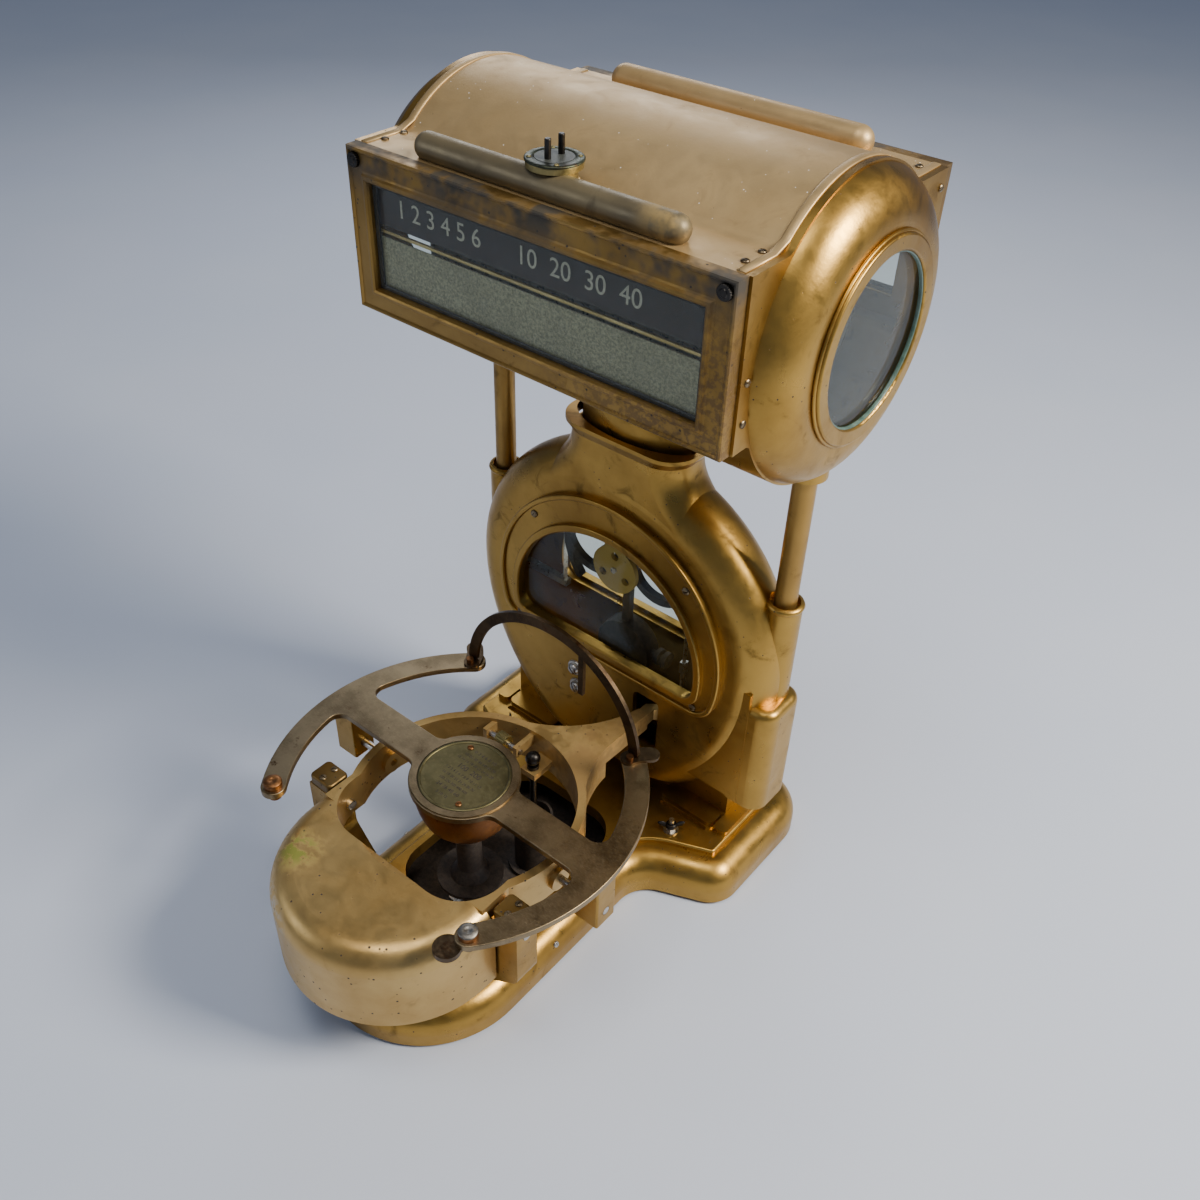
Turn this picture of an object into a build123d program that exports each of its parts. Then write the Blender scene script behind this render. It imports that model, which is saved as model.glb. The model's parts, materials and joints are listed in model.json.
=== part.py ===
from build123d import *
import math
import os

os.makedirs("parts", exist_ok=True)

# ---------------------------------------------------------------- driving dimensions (mm)
# X to the right, Y to the back, Z up; the table is Z = 0 and the box's middle is X = Y = 0.
post_y = 155.5          # plane of the two support posts
post_x = 170.0
post_r = 10.5
post_bore_r = 9.3
post_foot_z = 327.0
post_top_z = 514.0
collar_r = 18.0         # collar of the head around each post
socket_z = 354.0        # mouth of the post sockets
socket_r = 16.5

hub_y = post_y - 245    # centre of the platform spider
fulcrum_y = hub_y - 64  # front knife edges of the lever
pivot_z = 152.0         # height of the fulcrum and load pins
fulcrum_pin_r = 5.0
load_pin_r = 4.0
running = 0.06          # radial clearance of a shaft in its hole
loose = 0.5             # clearance where a hanging link needs some play

lever_top_z = 176.0
ring_in_r = 105.0       # the lever's opening around the hub
ring_out_r = 113.0
lobe_y = post_y - 338   # centre of the lobe's round front
lobe_r = 110.0
lobe_low_z = 83.0
nose_x = 76.0           # the nose's pin, inside the case
nose_y = post_y - 10
nose_z = 167.0

spider_z = 198.0        # underside of the spider
spider_t = 6.0
spider_mid_r = 163.5
cross_arm_w = 36.0
button_front = (123.0, hub_y - 122)
button_rear = (103.5, hub_y + 120.5)
stem_low_z = 16.0
cup_low_z = 148.0
link_z = 24.0           # check link's pins

dash_x = 8.0
dash_y = post_y - 160
balance_y = post_y - 162
balance_x = -30.0
balance_z = 166.0

drum_y = post_y - 12    # chart drum's axis
drum_z = 628.0
drum_r = 96.0
drum_half = 148.0
shaft_r = 3.0
pinion_r = 4.0
pinion_teeth = 16

cover_half = 178.0      # half length of the cover between the end caps
hump_r = 123.0          # cover's round part, about the drum's axis
shelf_z = 714.0
frame_low_z = 581.0
frame_half = 182.5
seam_z = 648.0          # where the cover meets the cradle
front_y = post_y - 146  # seat of the front window frame
rear_y = post_y + 122   # seat of the rear window frame
window_half = 160.0
window_low_z = 602.0
window_high_z = 690.0
ring_face_x = 216.0
lamp_z = 722.0
lamp_r = 11.0
rear_lamp_r = 12.5
front_lamp_y = post_y - 134
rear_lamp_y = post_y + 104
inlet_y = post_y - 123

case_front_y = post_y - 40
case_back_y = post_y + 34
case_mid_z = 262.0
case_r = 183.0
flank_r = 245.0         # flanks that narrow to the foot
flank_x = case_r - flank_r
case_low_z = 57.0
skirt_z = 78.0          # lower edge of the case's front wall
case_wall = 7.0
case_front_round = 32.0
case_back_round = 40.0
block_r = 27.0          # thick lower end of the right column, half its width
block_depth = 59.0
block_x = post_x - 2
block_y = post_y - 8
block_low_z = 115.0
block_top_z = 245.0
neck_y = post_y - 6
neck_top_z = 470.0
neck_half = (67.0, 31.5)    # recess around the head's boss, half sizes in X and Y
boss_half = (61.0, 27.5)
boss_bore = (54.0, 21.0)
boss_low_z = 458.0

pendulum_y = post_y - 10
pendulum_z = 320.0
power_r = 76.0          # tape from the nose rod
rack_arm_r = 80.0       # tape to the rack
tape_t = 0.6
rack_x = -post_x        # the rack rises through the left post

deck_z = 51.0
base_low_z = 4.0
foot_half = 146.0       # the case's foot stands on the deck's seat


# ---------------------------------------------------------------- small helpers
def finish(piece, label):
    """Label a finished piece and write its STEP."""
    piece.part.label = label
    export_step(piece.part, f"parts/{label}.step")


def front_plane(y):
    """Upright plane at depth y that faces the front; its own axes are X and Z."""
    return Plane.XZ.offset(-y)


def side_plane(x):
    """Upright plane at x that faces the right; its own axes are Y and Z."""
    return Plane.YZ.offset(x)


def along_x(x, y, z):
    """Place whose own Z axis points along X."""
    return Location((x, y, z), (0, 90, 0))


def along_y(x, y, z):
    """Place whose own Z axis points to the front."""
    return Location((x, y, z), (90, 0, 0))


on_base = (Align.CENTER, Align.CENTER, Align.MIN)


def arc_band(start, middle, end, width):
    """Round-ended band of even width along the arc through three points."""
    with BuildSketch() as band:
        with BuildLine() as path:
            ThreePointArc(start, middle, end)
        SlotArc(path.edges()[0], width)
    return band.sketch


def polar(centre, radius, angle):
    """Point at an angle, in degrees, on a circle."""
    turn = math.radians(angle)
    return (centre[0] + radius * math.cos(turn), centre[1] + radius * math.sin(turn))


# ================================================================ base
def base_outline(inset):
    """Foot print of the base: a narrow round-nosed front and a wide rear."""
    with BuildSketch() as outline:
        with BuildLine():
            CenterArc((0, post_y - 304.5), 108, -90, 90)
            FilletPolyline(
                (108, post_y - 304.5), (108, post_y - 112), (193, post_y - 76),
                (193, post_y + 95), (0, post_y + 95), radius=[40, 34, 52],
            )
            mirror(about=Plane.YZ)
        make_face()
        if inset:
            offset(amount=-inset, mode=Mode.REPLACE)
    return outline.sketch


with BuildPart() as base_casting:
    with BuildSketch(Plane.XY.offset(base_low_z)):
        add(base_outline(0))
    extrude(amount=45 - base_low_z)
    fillet(base_casting.edges().group_by(Axis.Z)[-1], 26)
    with BuildSketch(Plane.XY.offset(38)):
        add(base_outline(29))
    extrude(amount=deck_z - 38)
    fillet(base_casting.edges().group_by(Axis.Z)[-1], 2.5)
    with BuildSketch(Plane.XY.offset(base_low_z)):
        add(base_outline(14))
    extrude(amount=32, mode=Mode.SUBTRACT)
    # well for the spider's stem and the dashpot
    with BuildSketch(Plane.XY.offset(deck_z)):
        with Locations((0, post_y - 191)):
            RectangleRounded(140, 198, 38)
    extrude(amount=-30, mode=Mode.SUBTRACT)
    # ledges in front of the case, side rails and the seat of the case
    with BuildSketch(Plane.XY.offset(deck_z - 1)):
        with Locations((-110, post_y - 22), (110, post_y - 22)):
            RectangleRounded(66, 24, 7)
        with Locations((-154, post_y + 14), (154, post_y + 14)):
            RectangleRounded(16, 96, 5)
        with Locations((0, post_y + 9)):
            RectangleRounded(2 * foot_half + 8, 46, 10)
    extrude(amount=case_low_z - deck_z + 1)
    with BuildSketch(Plane.XY.offset(deck_z + 1)):
        with Locations((-110, post_y - 38), (110, post_y - 38)):
            RectangleRounded(60, 6, 2.5)
    extrude(amount=-6, mode=Mode.SUBTRACT)
finish(base_casting, "base_casting")

with BuildPart() as bottom_plate:
    with BuildSketch(Plane.XY.offset(base_low_z + 2)):
        add(base_outline(14.3))
    extrude(amount=3)
    # two ears for the check link's fixed pin
    for side in (-1, 1):
        with Locations((side * 12, fulcrum_y, base_low_z + 5)):
            Box(6, 16, 24, align=on_base)
    with Locations(along_x(0, fulcrum_y, link_z)):
        Cylinder(4 + running, 40, mode=Mode.SUBTRACT)
finish(bottom_plate, "bottom_plate")

foot_places = ((-64, post_y - 350), (64, post_y - 350), (-150, post_y + 50), (150, post_y + 50))
with BuildPart() as foot_pads:
    with Locations(*foot_places):
        Cylinder(15, base_low_z + 2, align=on_base)
    fillet(foot_pads.edges().group_by(Axis.Z)[0], 1.5)
finish(foot_pads, "foot_pads")

with BuildPart() as deck_studs:
    for side in (-1, 1):
        with Locations((side * 113, post_y - 62, deck_z)):
            Cylinder(8, 1.6, align=on_base)
            Cylinder(3, 16, align=on_base)
        with BuildSketch(Plane.XY.offset(deck_z + 1.6)):
            with Locations((side * 113, post_y - 62)):
                RegularPolygon(5.6, 6)
        extrude(amount=5)
finish(deck_studs, "deck_studs")

# ================================================================ fulcrum stands
stand_in_x = 104.0
stand_out_x = 134.0
stand_top_z = pivot_z + 12
with BuildPart() as fulcrum_stands:
    with BuildSketch(front_plane(fulcrum_y)):
        with BuildLine():
            FilletPolyline(
                (50, deck_z), (79, deck_z), (stand_out_x, 92), (stand_out_x, stand_top_z),
                (stand_in_x, stand_top_z), (stand_in_x, 108), (70, 63), (50, 63),
                close=True, radius=[1, 10, 16, 1, 1, 14, 10, 3],
            )
        make_face()
        mirror(about=Plane.YZ)
    extrude(amount=13, both=True)
    with Locations(along_x(0, fulcrum_y, pivot_z)):
        Cylinder(fulcrum_pin_r + running, 300, mode=Mode.SUBTRACT)
finish(fulcrum_stands, "fulcrum_stands")

with BuildPart() as fulcrum_caps:
    with BuildSketch(Plane.XY.offset(stand_top_z)):
        with Locations((-119, fulcrum_y), (119, fulcrum_y)):
            RectangleRounded(29, 25, 5)
    extrude(amount=11)
    fillet(fulcrum_caps.edges().group_by(Axis.Z)[-1], 2.5)
finish(fulcrum_caps, "fulcrum_caps")


# ================================================================ case
def case_profile(inset):
    """Front view of the case: round shoulders, with flanks that narrow to the foot."""
    top_r = case_r - inset
    side_r = flank_r - inset
    low_z = skirt_z + inset
    drop = case_mid_z - low_z
    foot_x = flank_x + math.sqrt(side_r ** 2 - drop ** 2)
    mid_x = flank_x + math.sqrt(side_r ** 2 - (drop / 2) ** 2)
    with BuildSketch() as face:
        with BuildLine():
            ThreePointArc((-top_r, case_mid_z), (0, case_mid_z + top_r), (top_r, case_mid_z))
            ThreePointArc((top_r, case_mid_z), (mid_x, case_mid_z - drop / 2), (foot_x, low_z))
            Line((foot_x, low_z), (-foot_x, low_z))
            ThreePointArc((-foot_x, low_z), (-mid_x, case_mid_z - drop / 2), (-top_r, case_mid_z))
        make_face()
    return face.sketch


def window_profile(arc_r, centre_z, chord_z, corner):
    """D-shaped window: a round top cut by a level chord, with rounded corners."""
    half = math.sqrt(arc_r ** 2 - (centre_z - chord_z) ** 2)
    with BuildSketch() as face:
        with BuildLine():
            ThreePointArc((-half, chord_z), (0, centre_z + arc_r), (half, chord_z))
            Line((half, chord_z), (-half, chord_z))
        make_face()
        fillet(face.vertices(), corner)
    return face.sketch


def case_block(inset, front_round, back_round):
    """The case's body or its hollow, with both rims rounded."""
    with BuildPart() as block:
        with BuildSketch(front_plane(case_back_y - inset)):
            add(case_profile(inset))
        extrude(amount=case_back_y - case_front_y - 2 * inset)
        rims = block.edges().filter_by(GeomType.CIRCLE).group_by(Axis.Y)
        fillet(rims[0], front_round)
        rims = block.edges().filter_by(GeomType.CIRCLE).group_by(Axis.Y)
        fillet(rims[-1], back_round)
    return block.part


def oval(half_x, half_y, z, height, mode=Mode.ADD):
    """Upright oval boss or bore in the neck's line, added to the part being built."""
    with BuildSketch(Plane.XY.offset(z)) as plan:
        with Locations((0, neck_y)):
            Ellipse(half_x, half_y)
    extrude(plan.sketch, amount=height, mode=mode)


neck_sections = ((376, 124, 33.6), (398, 104, 33.6), (418, 84, 33.6), (440, 69, 33.6), (458, 66, 33.6))
neck_lip = ((458, 66, 33.6), (466, 71, 37))


def neck_body():
    """Neck that narrows from the case's shoulders and spreads to a lip."""
    with BuildPart() as neck:
        for sections in (neck_sections, neck_lip):
            for section_z, half_x, half_y in sections:
                with BuildSketch(Plane.XY.offset(section_z)):
                    with Locations((0, neck_y)):
                        RectangleRounded(2 * half_x, 2 * half_y, 30)
            loft()
        lip_z, lip_x, lip_y = neck_lip[-1]
        with BuildSketch(Plane.XY.offset(lip_z)):
            with Locations((0, neck_y)):
                RectangleRounded(2 * lip_x, 2 * lip_y, 30)
        extrude(amount=neck_top_z - lip_z)
    return neck.part


def post_block():
    """Thick lower end of the right column, with a rounded top."""
    with BuildPart() as block:
        with BuildSketch(Plane.XY.offset(block_low_z)):
            with Locations((block_x, block_y)):
                RectangleRounded(2 * block_r, block_depth, 17)
        extrude(amount=block_top_z - block_low_z)
        fillet(block.edges().group_by(Axis.Z)[-1], 9)
    return block.part


window_arc = (116.0, 250.0)     # radius and centre height of the window's round top
lens_seat = (*window_arc, 221.6, 16)
with BuildPart() as housing_case:
    add(case_block(0, case_front_round, case_back_round))
    add(neck_body())
    # foot on the deck, and the wall between the right flank and the block
    with Locations((0, post_y + 9, case_low_z)):
        Box(2 * foot_half, 38, block_low_z + 5 - case_low_z, align=on_base)
    with BuildSketch(front_plane(post_y + 20)):
        with BuildLine():
            Polyline((96, block_low_z + 3), (170, block_low_z + 3), (170, 262), (150, 262), close=True)
        make_face()
    extrude(amount=58)
    # columns with the post sockets, and the right one's block
    for side in (-1, 1):
        with Locations((side * post_x, post_y, 225)):
            Cylinder(socket_r, socket_z - 225, align=on_base)
    add(post_block())
    # hollows of the case, the foot and the block
    add(case_block(case_wall, 24, 31), mode=Mode.SUBTRACT)
    with Locations((0, post_y + 9, case_low_z)):
        Box(2 * foot_half - 14, 26, block_low_z - case_low_z - 4, align=on_base, mode=Mode.SUBTRACT)
    with Locations((block_x, block_y, block_low_z)):
        Box(2 * block_r - 16, block_depth - 14, 110, align=on_base, mode=Mode.SUBTRACT)
    # neck bore and the seat of the head's boss
    oval(44, 20, 380, 60, mode=Mode.SUBTRACT)
    oval(48, 17, 430, 30, mode=Mode.SUBTRACT)
    oval(*neck_half, boss_low_z, 20, mode=Mode.SUBTRACT)
    # sockets and bores for the posts, open to the hollow so that the rack can pass
    with Locations((-post_x, post_y, post_foot_z), (post_x, post_y, post_foot_z)):
        Cylinder(post_r, 60, align=on_base, mode=Mode.SUBTRACT)
    with Locations((-post_x, post_y, socket_z - 6), (post_x, post_y, socket_z - 6)):
        Cylinder(socket_r - 2.5, 10, align=on_base, mode=Mode.SUBTRACT)
    with Locations((-post_x, post_y, 240), (post_x, post_y, 240)):
        Cylinder(post_bore_r, 90, align=on_base, mode=Mode.SUBTRACT)
    # windows right through, front and back
    with BuildSketch(front_plane(case_back_y + 1)):
        add(window_profile(*lens_seat))
    extrude(amount=200, mode=Mode.SUBTRACT)
    # slot for the lever's nose
    with BuildSketch(front_plane(case_front_y + 12)):
        with Locations((54, 154)):
            RectangleRounded(32, 72, 6)
    extrude(amount=30, mode=Mode.SUBTRACT)
finish(housing_case, "housing_case")


bezel_rim = (139.0, case_mid_z, 206.0, 27)
window_lip = (111.5, 250.0, 226.0, 12)


def bezel(face_y, outward):
    """D-shaped bezel: a plate with a bead outside and a raised lip around the glass."""
    with BuildPart() as ring:
        for outer, inner, height in (
            (bezel_rim, window_lip, 4),
            (bezel_rim, (133.5, case_mid_z, 211.5, 22), 7),
            ((119.5, 250, 218, 19), window_lip, 9),
        ):
            with BuildSketch(front_plane(face_y)):
                add(window_profile(*outer))
                add(window_profile(*inner), mode=Mode.SUBTRACT)
            extrude(amount=height * outward)
        tops = ring.edges().filter_by(GeomType.CIRCLE).filter_by_position(
            Axis.Y, min(face_y - outward * 7, face_y - outward * 9) - 0.1,
            max(face_y - outward * 7, face_y - outward * 9) + 0.1)
        fillet(tops, 1.6)
    return ring


front_bezel = bezel(case_front_y, 1)
finish(front_bezel, "front_bezel")
rear_bezel = bezel(case_back_y, -1)
finish(rear_bezel, "rear_bezel")

with BuildPart() as case_lenses:
    for back_y in (case_front_y + 3, case_back_y):
        with BuildSketch(front_plane(back_y)):
            add(window_profile(window_arc[0] - 0.4, window_arc[1], 222, 15.6))
        extrude(amount=3)
finish(case_lenses, "case_lenses")

# ================================================================ posts and head
with BuildPart() as posts:
    with Locations((-post_x, post_y, post_foot_z), (post_x, post_y, post_foot_z)):
        Cylinder(post_r, post_top_z - post_foot_z, align=on_base)
        Cylinder(post_bore_r, post_top_z - post_foot_z, align=on_base, mode=Mode.SUBTRACT)
finish(posts, "posts")


def head_profile(inset):
    """End view of the head: a round body through a box that carries the windows."""
    with BuildSketch() as face:
        with Locations(((front_y + rear_y) / 2, (frame_low_z + shelf_z) / 2)):
            Rectangle(rear_y - front_y - 2 * inset, shelf_z - frame_low_z - 2 * inset)
        with Locations((drum_y, drum_z)):
            Circle(hump_r - inset)
        joins = face.vertices().filter_by(
            lambda v: min(abs(v.X - front_y), abs(v.X - rear_y)) > 4 + inset)
        fillet(joins.group_by(Axis.Y)[-1], 14)
        joins = face.vertices().filter_by(
            lambda v: min(abs(v.X - front_y), abs(v.X - rear_y)) > 4 + inset and v.Y < drum_z)
        fillet(joins, 8)
    return face.sketch


def head_shell(wall):
    """Sheet-metal shell of the head, open at both ends and at both windows."""
    with BuildPart() as shell:
        with BuildSketch(side_plane(-cover_half)):
            add(head_profile(0))
            add(head_profile(wall), mode=Mode.SUBTRACT)
        extrude(amount=2 * cover_half)
        with Locations((0, (front_y + rear_y) / 2, (window_low_z + window_high_z) / 2)):
            Box(2 * window_half, 400, window_high_z - window_low_z, mode=Mode.SUBTRACT)
    return shell.part


with BuildPart() as head_cover:
    add(head_shell(2))
    with Locations((0, drum_y, 0)):
        Box(600, 600, 2 * seam_z, mode=Mode.SUBTRACT)
    # light slots beneath the lamp tubes
    with Locations((-68, front_lamp_y, shelf_z), (68, front_lamp_y, shelf_z)):
        Box(80, 10, 10, mode=Mode.SUBTRACT)
    with Locations((0, rear_lamp_y, shelf_z)):
        Box(216, 10, 10, mode=Mode.SUBTRACT)
finish(head_cover, "head_cover")

with BuildPart() as head_cradle:
    # boss that stands in the case's neck, up to the belly
    oval(*boss_half, boss_low_z, 62)
    for side in (-1, 1):
        with Locations((side * post_x, post_y, 490)):
            Cylinder(collar_r, 20, align=on_base)
    with BuildSketch(side_plane(-cover_half)):
        add(head_profile(3))
    extrude(amount=2 * cover_half, mode=Mode.SUBTRACT)
    add(head_shell(3))
    with Locations((0, drum_y, seam_z)):
        Box(600, 600, 300, align=on_base, mode=Mode.SUBTRACT)
    oval(*boss_bore, boss_low_z - 1, 80, mode=Mode.SUBTRACT)
    with Locations((-post_x, post_y, 480), (post_x, post_y, 480)):
        Cylinder(post_r, 60, align=on_base, mode=Mode.SUBTRACT)
finish(head_cradle, "head_cradle")

for name, side in (("left", -1), ("right", 1)):
    with BuildPart() as end_cap:
        with BuildSketch(side_plane(side * cover_half)):
            add(head_profile(0))
        extrude(amount=side * 7)
        with Locations(along_x(side * cover_half, drum_y, drum_z)):
            Cylinder(116, 20, mode=Mode.SUBTRACT)
        with BuildSketch(Plane.XY.offset(drum_z)):
            with BuildLine():
                ThreePointArc(
                    (side * 184, drum_y + 121.5), (side * 203, drum_y + 109), (side * 211, drum_y + 86))
                Polyline(
                    (side * 211, drum_y + 86), (side * 211, drum_y + 74), (side * 208, drum_y + 74),
                    (side * 208, drum_y + 85))
                ThreePointArc(
                    (side * 208, drum_y + 85), (side * 200, drum_y + 106), (side * 184, drum_y + 116))
                Line((side * 184, drum_y + 116), (side * 184, drum_y + 121.5))
            make_face()
        revolve(axis=Axis((0, drum_y, drum_z), (1, 0, 0)))
        # notch around the post and its collar
        with Locations((side * post_x, post_y, 440)):
            Cylinder(collar_r + 0.3, 100, align=on_base, mode=Mode.SUBTRACT)
    finish(end_cap, f"end_cap_{name}")

with BuildPart() as end_rings:
    for side in (-1, 1):
        with BuildSketch(side_plane(side * 211)):
            with Locations((drum_y, drum_z)):
                Circle(80)
                Circle(67, mode=Mode.SUBTRACT)
        extrude(amount=side * (ring_face_x - 211))
    fillet(end_rings.edges().filter_by(lambda e: abs(abs(e.center().X) - ring_face_x) < 0.1), 1.8)
finish(end_rings, "end_rings")

with BuildPart() as end_glasses:
    with Locations(along_x(-209.5, drum_y, drum_z), along_x(209.5, drum_y, drum_z)):
        Cylinder(73.6, 3)
finish(end_glasses, "end_glasses")


def window_frame(seat_y, outward):
    """Rectangular frame with a bevel up to the raised lip around its window."""
    mid_z = (frame_low_z + shelf_z) / 2
    tall = shelf_z - frame_low_z
    with BuildPart() as frame:
        with BuildSketch(front_plane(seat_y)):
            with Locations((0, mid_z)):
                Rectangle(2 * frame_half, tall)
        extrude(amount=6 * outward)
        with BuildSketch(front_plane(seat_y - 6 * outward)):
            with Locations((0, mid_z)):
                Rectangle(2 * frame_half - 8, tall - 8)
        with BuildSketch(front_plane(seat_y - 15 * outward)):
            with Locations((0, mid_z)):
                Rectangle(2 * window_half + 10, window_high_z - window_low_z + 10)
        loft()
        with Locations((0, seat_y, (window_low_z + window_high_z) / 2)):
            Box(2 * window_half, 60, window_high_z - window_low_z, mode=Mode.SUBTRACT)
            Box(2 * window_half + 7, 22, window_high_z - window_low_z + 7, mode=Mode.SUBTRACT)
        # seats of the corner screws
        for side in (-1, 1):
            with Locations(along_y(side * 173.5, seat_y - 16 * outward, 704.5)):
                Cylinder(6.3, 20, mode=Mode.SUBTRACT)
    return frame


front_frame = window_frame(front_y, 1)
finish(front_frame, "front_frame")
rear_frame = window_frame(rear_y, -1)
finish(rear_frame, "rear_frame")

with BuildPart() as head_windows:
    for y in (front_y - 7.5, rear_y + 7.5):
        with Locations((0, y, (window_low_z + window_high_z) / 2)):
            Box(2 * window_half + 6, 3, window_high_z - window_low_z + 6)
finish(head_windows, "head_windows")

with BuildPart() as window_band:
    for y in (front_y - 4.5, rear_y + 4.5):
        with Locations((0, y, (window_high_z + 656) / 2)):
            Box(2 * window_half + 6, 1.2, window_high_z - 656)
finish(window_band, "window_band")

with BuildPart() as reading_screen:
    with Locations((0, front_y - 4.5, (window_low_z + 646) / 2)):
        Box(2 * window_half + 6, 1.2, 646 - window_low_z)
finish(reading_screen, "reading_screen")

with BuildPart() as index_bars:
    for y in (front_y - 4.5, rear_y + 4.5):
        with Locations((0, y, 651)):
            Box(2 * window_half + 6, 2.4, 2.4)
finish(index_bars, "index_bars")

# ---------------------------------------------------------------- lamps and inlet
slot_low = shelf_z + 0.05


def lamp_tube(axis_y, outer_r):
    """Round-ended lamp housing that lies on the cover's shelf, open underneath."""
    with BuildPart() as tube:
        for radius, mode in ((outer_r, Mode.ADD), (outer_r - 1.5, Mode.SUBTRACT)):
            with Locations(along_x(0, axis_y, lamp_z)):
                Cylinder(radius, 230, mode=mode)
            with Locations((-115, axis_y, lamp_z), (115, axis_y, lamp_z)):
                Sphere(radius, mode=mode)
        with Locations((0, axis_y, 0)):
            Box(400, 60, 2 * slot_low, mode=Mode.SUBTRACT)
        with Locations((0, inlet_y, lamp_z)):
            Cylinder(17, 60, mode=Mode.SUBTRACT)
    return tube


front_lamp_tube = lamp_tube(front_lamp_y, lamp_r)
finish(front_lamp_tube, "front_lamp_tube")
rear_lamp_tube = lamp_tube(rear_lamp_y, rear_lamp_r)
finish(rear_lamp_tube, "rear_lamp_tube")

with BuildPart() as lamp_bulbs:
    for y, inner_end in ((front_lamp_y, 28), (rear_lamp_y, 8)):
        for side in (-1, 1):
            with Locations(along_x(side * (inner_end + 104) / 2, y, lamp_z)):
                Cylinder(6, 104 - inner_end)
            with Locations(along_x(side * 108, y, lamp_z)):
                Cylinder(8, 8)
finish(lamp_bulbs, "lamp_bulbs")

with BuildPart() as inlet_cup:
    with Locations((0, inlet_y, shelf_z)):
        Cylinder(17, 20, align=on_base)
    with Locations((0, inlet_y, 733)):
        Cylinder(21, 5, align=on_base)
    fillet(inlet_cup.edges().filter_by(GeomType.CIRCLE).group_by(Axis.Z)[-1], 1.5)
    with Locations((0, inlet_y, shelf_z)):
        Cylinder(14.5, 30, align=on_base, mode=Mode.SUBTRACT)
finish(inlet_cup, "inlet_cup")

with BuildPart() as inlet_insulator:
    with Locations((0, inlet_y, 727)):
        Cylinder(14.5, 12.5, align=on_base)
finish(inlet_insulator, "inlet_insulator")

with BuildPart() as inlet_pins:
    with Locations((0, inlet_y - 7.35, 739.5), (0, inlet_y + 7.35, 739.5)):
        Cylinder(2.4, 14, align=on_base)
    fillet(inlet_pins.edges().filter_by(GeomType.CIRCLE).group_by(Axis.Z)[-1], 1)
finish(inlet_pins, "inlet_pins")

# ---------------------------------------------------------------- root fasteners
with BuildPart() as housing_bolts:
    for x, z in ((-39, 175), (-36, 151)):
        with Locations(along_y(x, case_front_y - 1, z)):
            Cylinder(9, 2)
        with Locations(along_y(x, case_front_y - 5, z)):
            Cylinder(6.5, 6)
finish(housing_bolts, "housing_bolts")

with BuildPart() as round_screws:
    for y, outward in ((case_front_y - 4, 1), (case_back_y + 4, -1)):
        for x, z in ((-92, 350), (92, 350), (-112, 216), (112, 216)):
            with Locations(along_y(x, y - outward * 1.2, z)):
                Cylinder(4, 2.4)
    for side in (-1, 1):
        with Locations((side * 119, fulcrum_y - 7, stand_top_z + 11),
                       (side * 119, fulcrum_y + 7, stand_top_z + 11)):
            Cylinder(3.4, 1.6, align=on_base)
        for y, z in ((front_y + 16, shelf_z), (front_y + 36, shelf_z), (rear_y - 16, shelf_z)):
            with Locations((side * 170, y, z)):
                Cylinder(3, 1.8, align=on_base)
        for y, z in ((front_y + 8, 636), (front_y + 8, 604), (rear_y - 8, 700), (rear_y - 8, 604)):
            with Locations(along_x(side * (cover_half + 7.9), y, z)):
                Cylinder(3, 1.8)
finish(round_screws, "round_screws")

with BuildPart() as frame_thumbscrews:
    for y, outward in ((front_y - 6, 1), (rear_y + 6, -1)):
        for side in (-1, 1):
            with Locations(along_y(side * 173.5, y - outward * 3, 704.5)):
                Cylinder(6, 6)
            with Locations(along_y(side * 173.5, y - outward * 7.5, 704.5)):
                Cylinder(4.2, 3)
finish(frame_thumbscrews, "frame_thumbscrews")

# ================================================================ pendulum bracket and bearings
with BuildPart() as pendulum_bracket:
    # round front plate with three lightening holes
    with BuildSketch(front_plane(post_y - 27)):
        with Locations((0, pendulum_z)):
            Circle(26)
        with Locations((0, 358)):
            Rectangle(26, 60)
        with Locations((0, pendulum_z)):
            with PolarLocations(16, 3, 90):
                Circle(4.5, mode=Mode.SUBTRACT)
    extrude(amount=5)
    with BuildSketch(front_plane(post_y + 14)):
        with Locations((0, 350)):
            RectangleRounded(32, 90, 8)
    extrude(amount=5)
    with Locations((0, post_y - 7, 388)):
        Box(26, 42, 12, align=(Align.CENTER, Align.CENTER, Align.MAX))
    with Locations(along_y(0, post_y + 20.5, 384)):
        Cylinder(9, 13)
    with Locations(along_y(0, post_y, pendulum_z)):
        Cylinder(shaft_r + running, 100, mode=Mode.SUBTRACT)
finish(pendulum_bracket, "pendulum_bracket")

with BuildPart() as drum_bearings:
    for side in (-1, 1):
        with Locations((side * 154, drum_y, 505)):
            Box(5, 24, drum_z - 505, align=on_base)
        with Locations(along_x(side * 154, drum_y, drum_z)):
            Cylinder(14, 5)
    with Locations(along_x(0, drum_y, drum_z)):
        Cylinder(shaft_r + running, 400, mode=Mode.SUBTRACT)
    with BuildSketch(side_plane(-cover_half)):
        add(head_profile(3))
    extrude(amount=2 * cover_half, mode=Mode.INTERSECT)
finish(drum_bearings, "drum_bearings")

with BuildPart() as dashpot_cylinder:
    with Locations((dash_x, dash_y, base_low_z + 5)):
        Cylinder(27, 4, align=on_base)
        Cylinder(20, 74, align=on_base)
    with Locations((dash_x, dash_y, base_low_z + 9)):
        Cylinder(17.5, 80, align=on_base, mode=Mode.SUBTRACT)
finish(dashpot_cylinder, "dashpot_cylinder")

# ================================================================ lever
def lobe_profile(inset):
    """Plan of the lever's heavy front end."""
    with BuildSketch() as plan:
        with BuildLine():
            CenterArc((0, lobe_y), lobe_r - inset, 180, 180)
            Polyline(
                (lobe_r - inset, lobe_y), (lobe_r - inset, fulcrum_y - 15 - inset),
                (inset - lobe_r, fulcrum_y - 15 - inset), (inset - lobe_r, lobe_y))
        make_face()
    return plan.sketch


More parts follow.
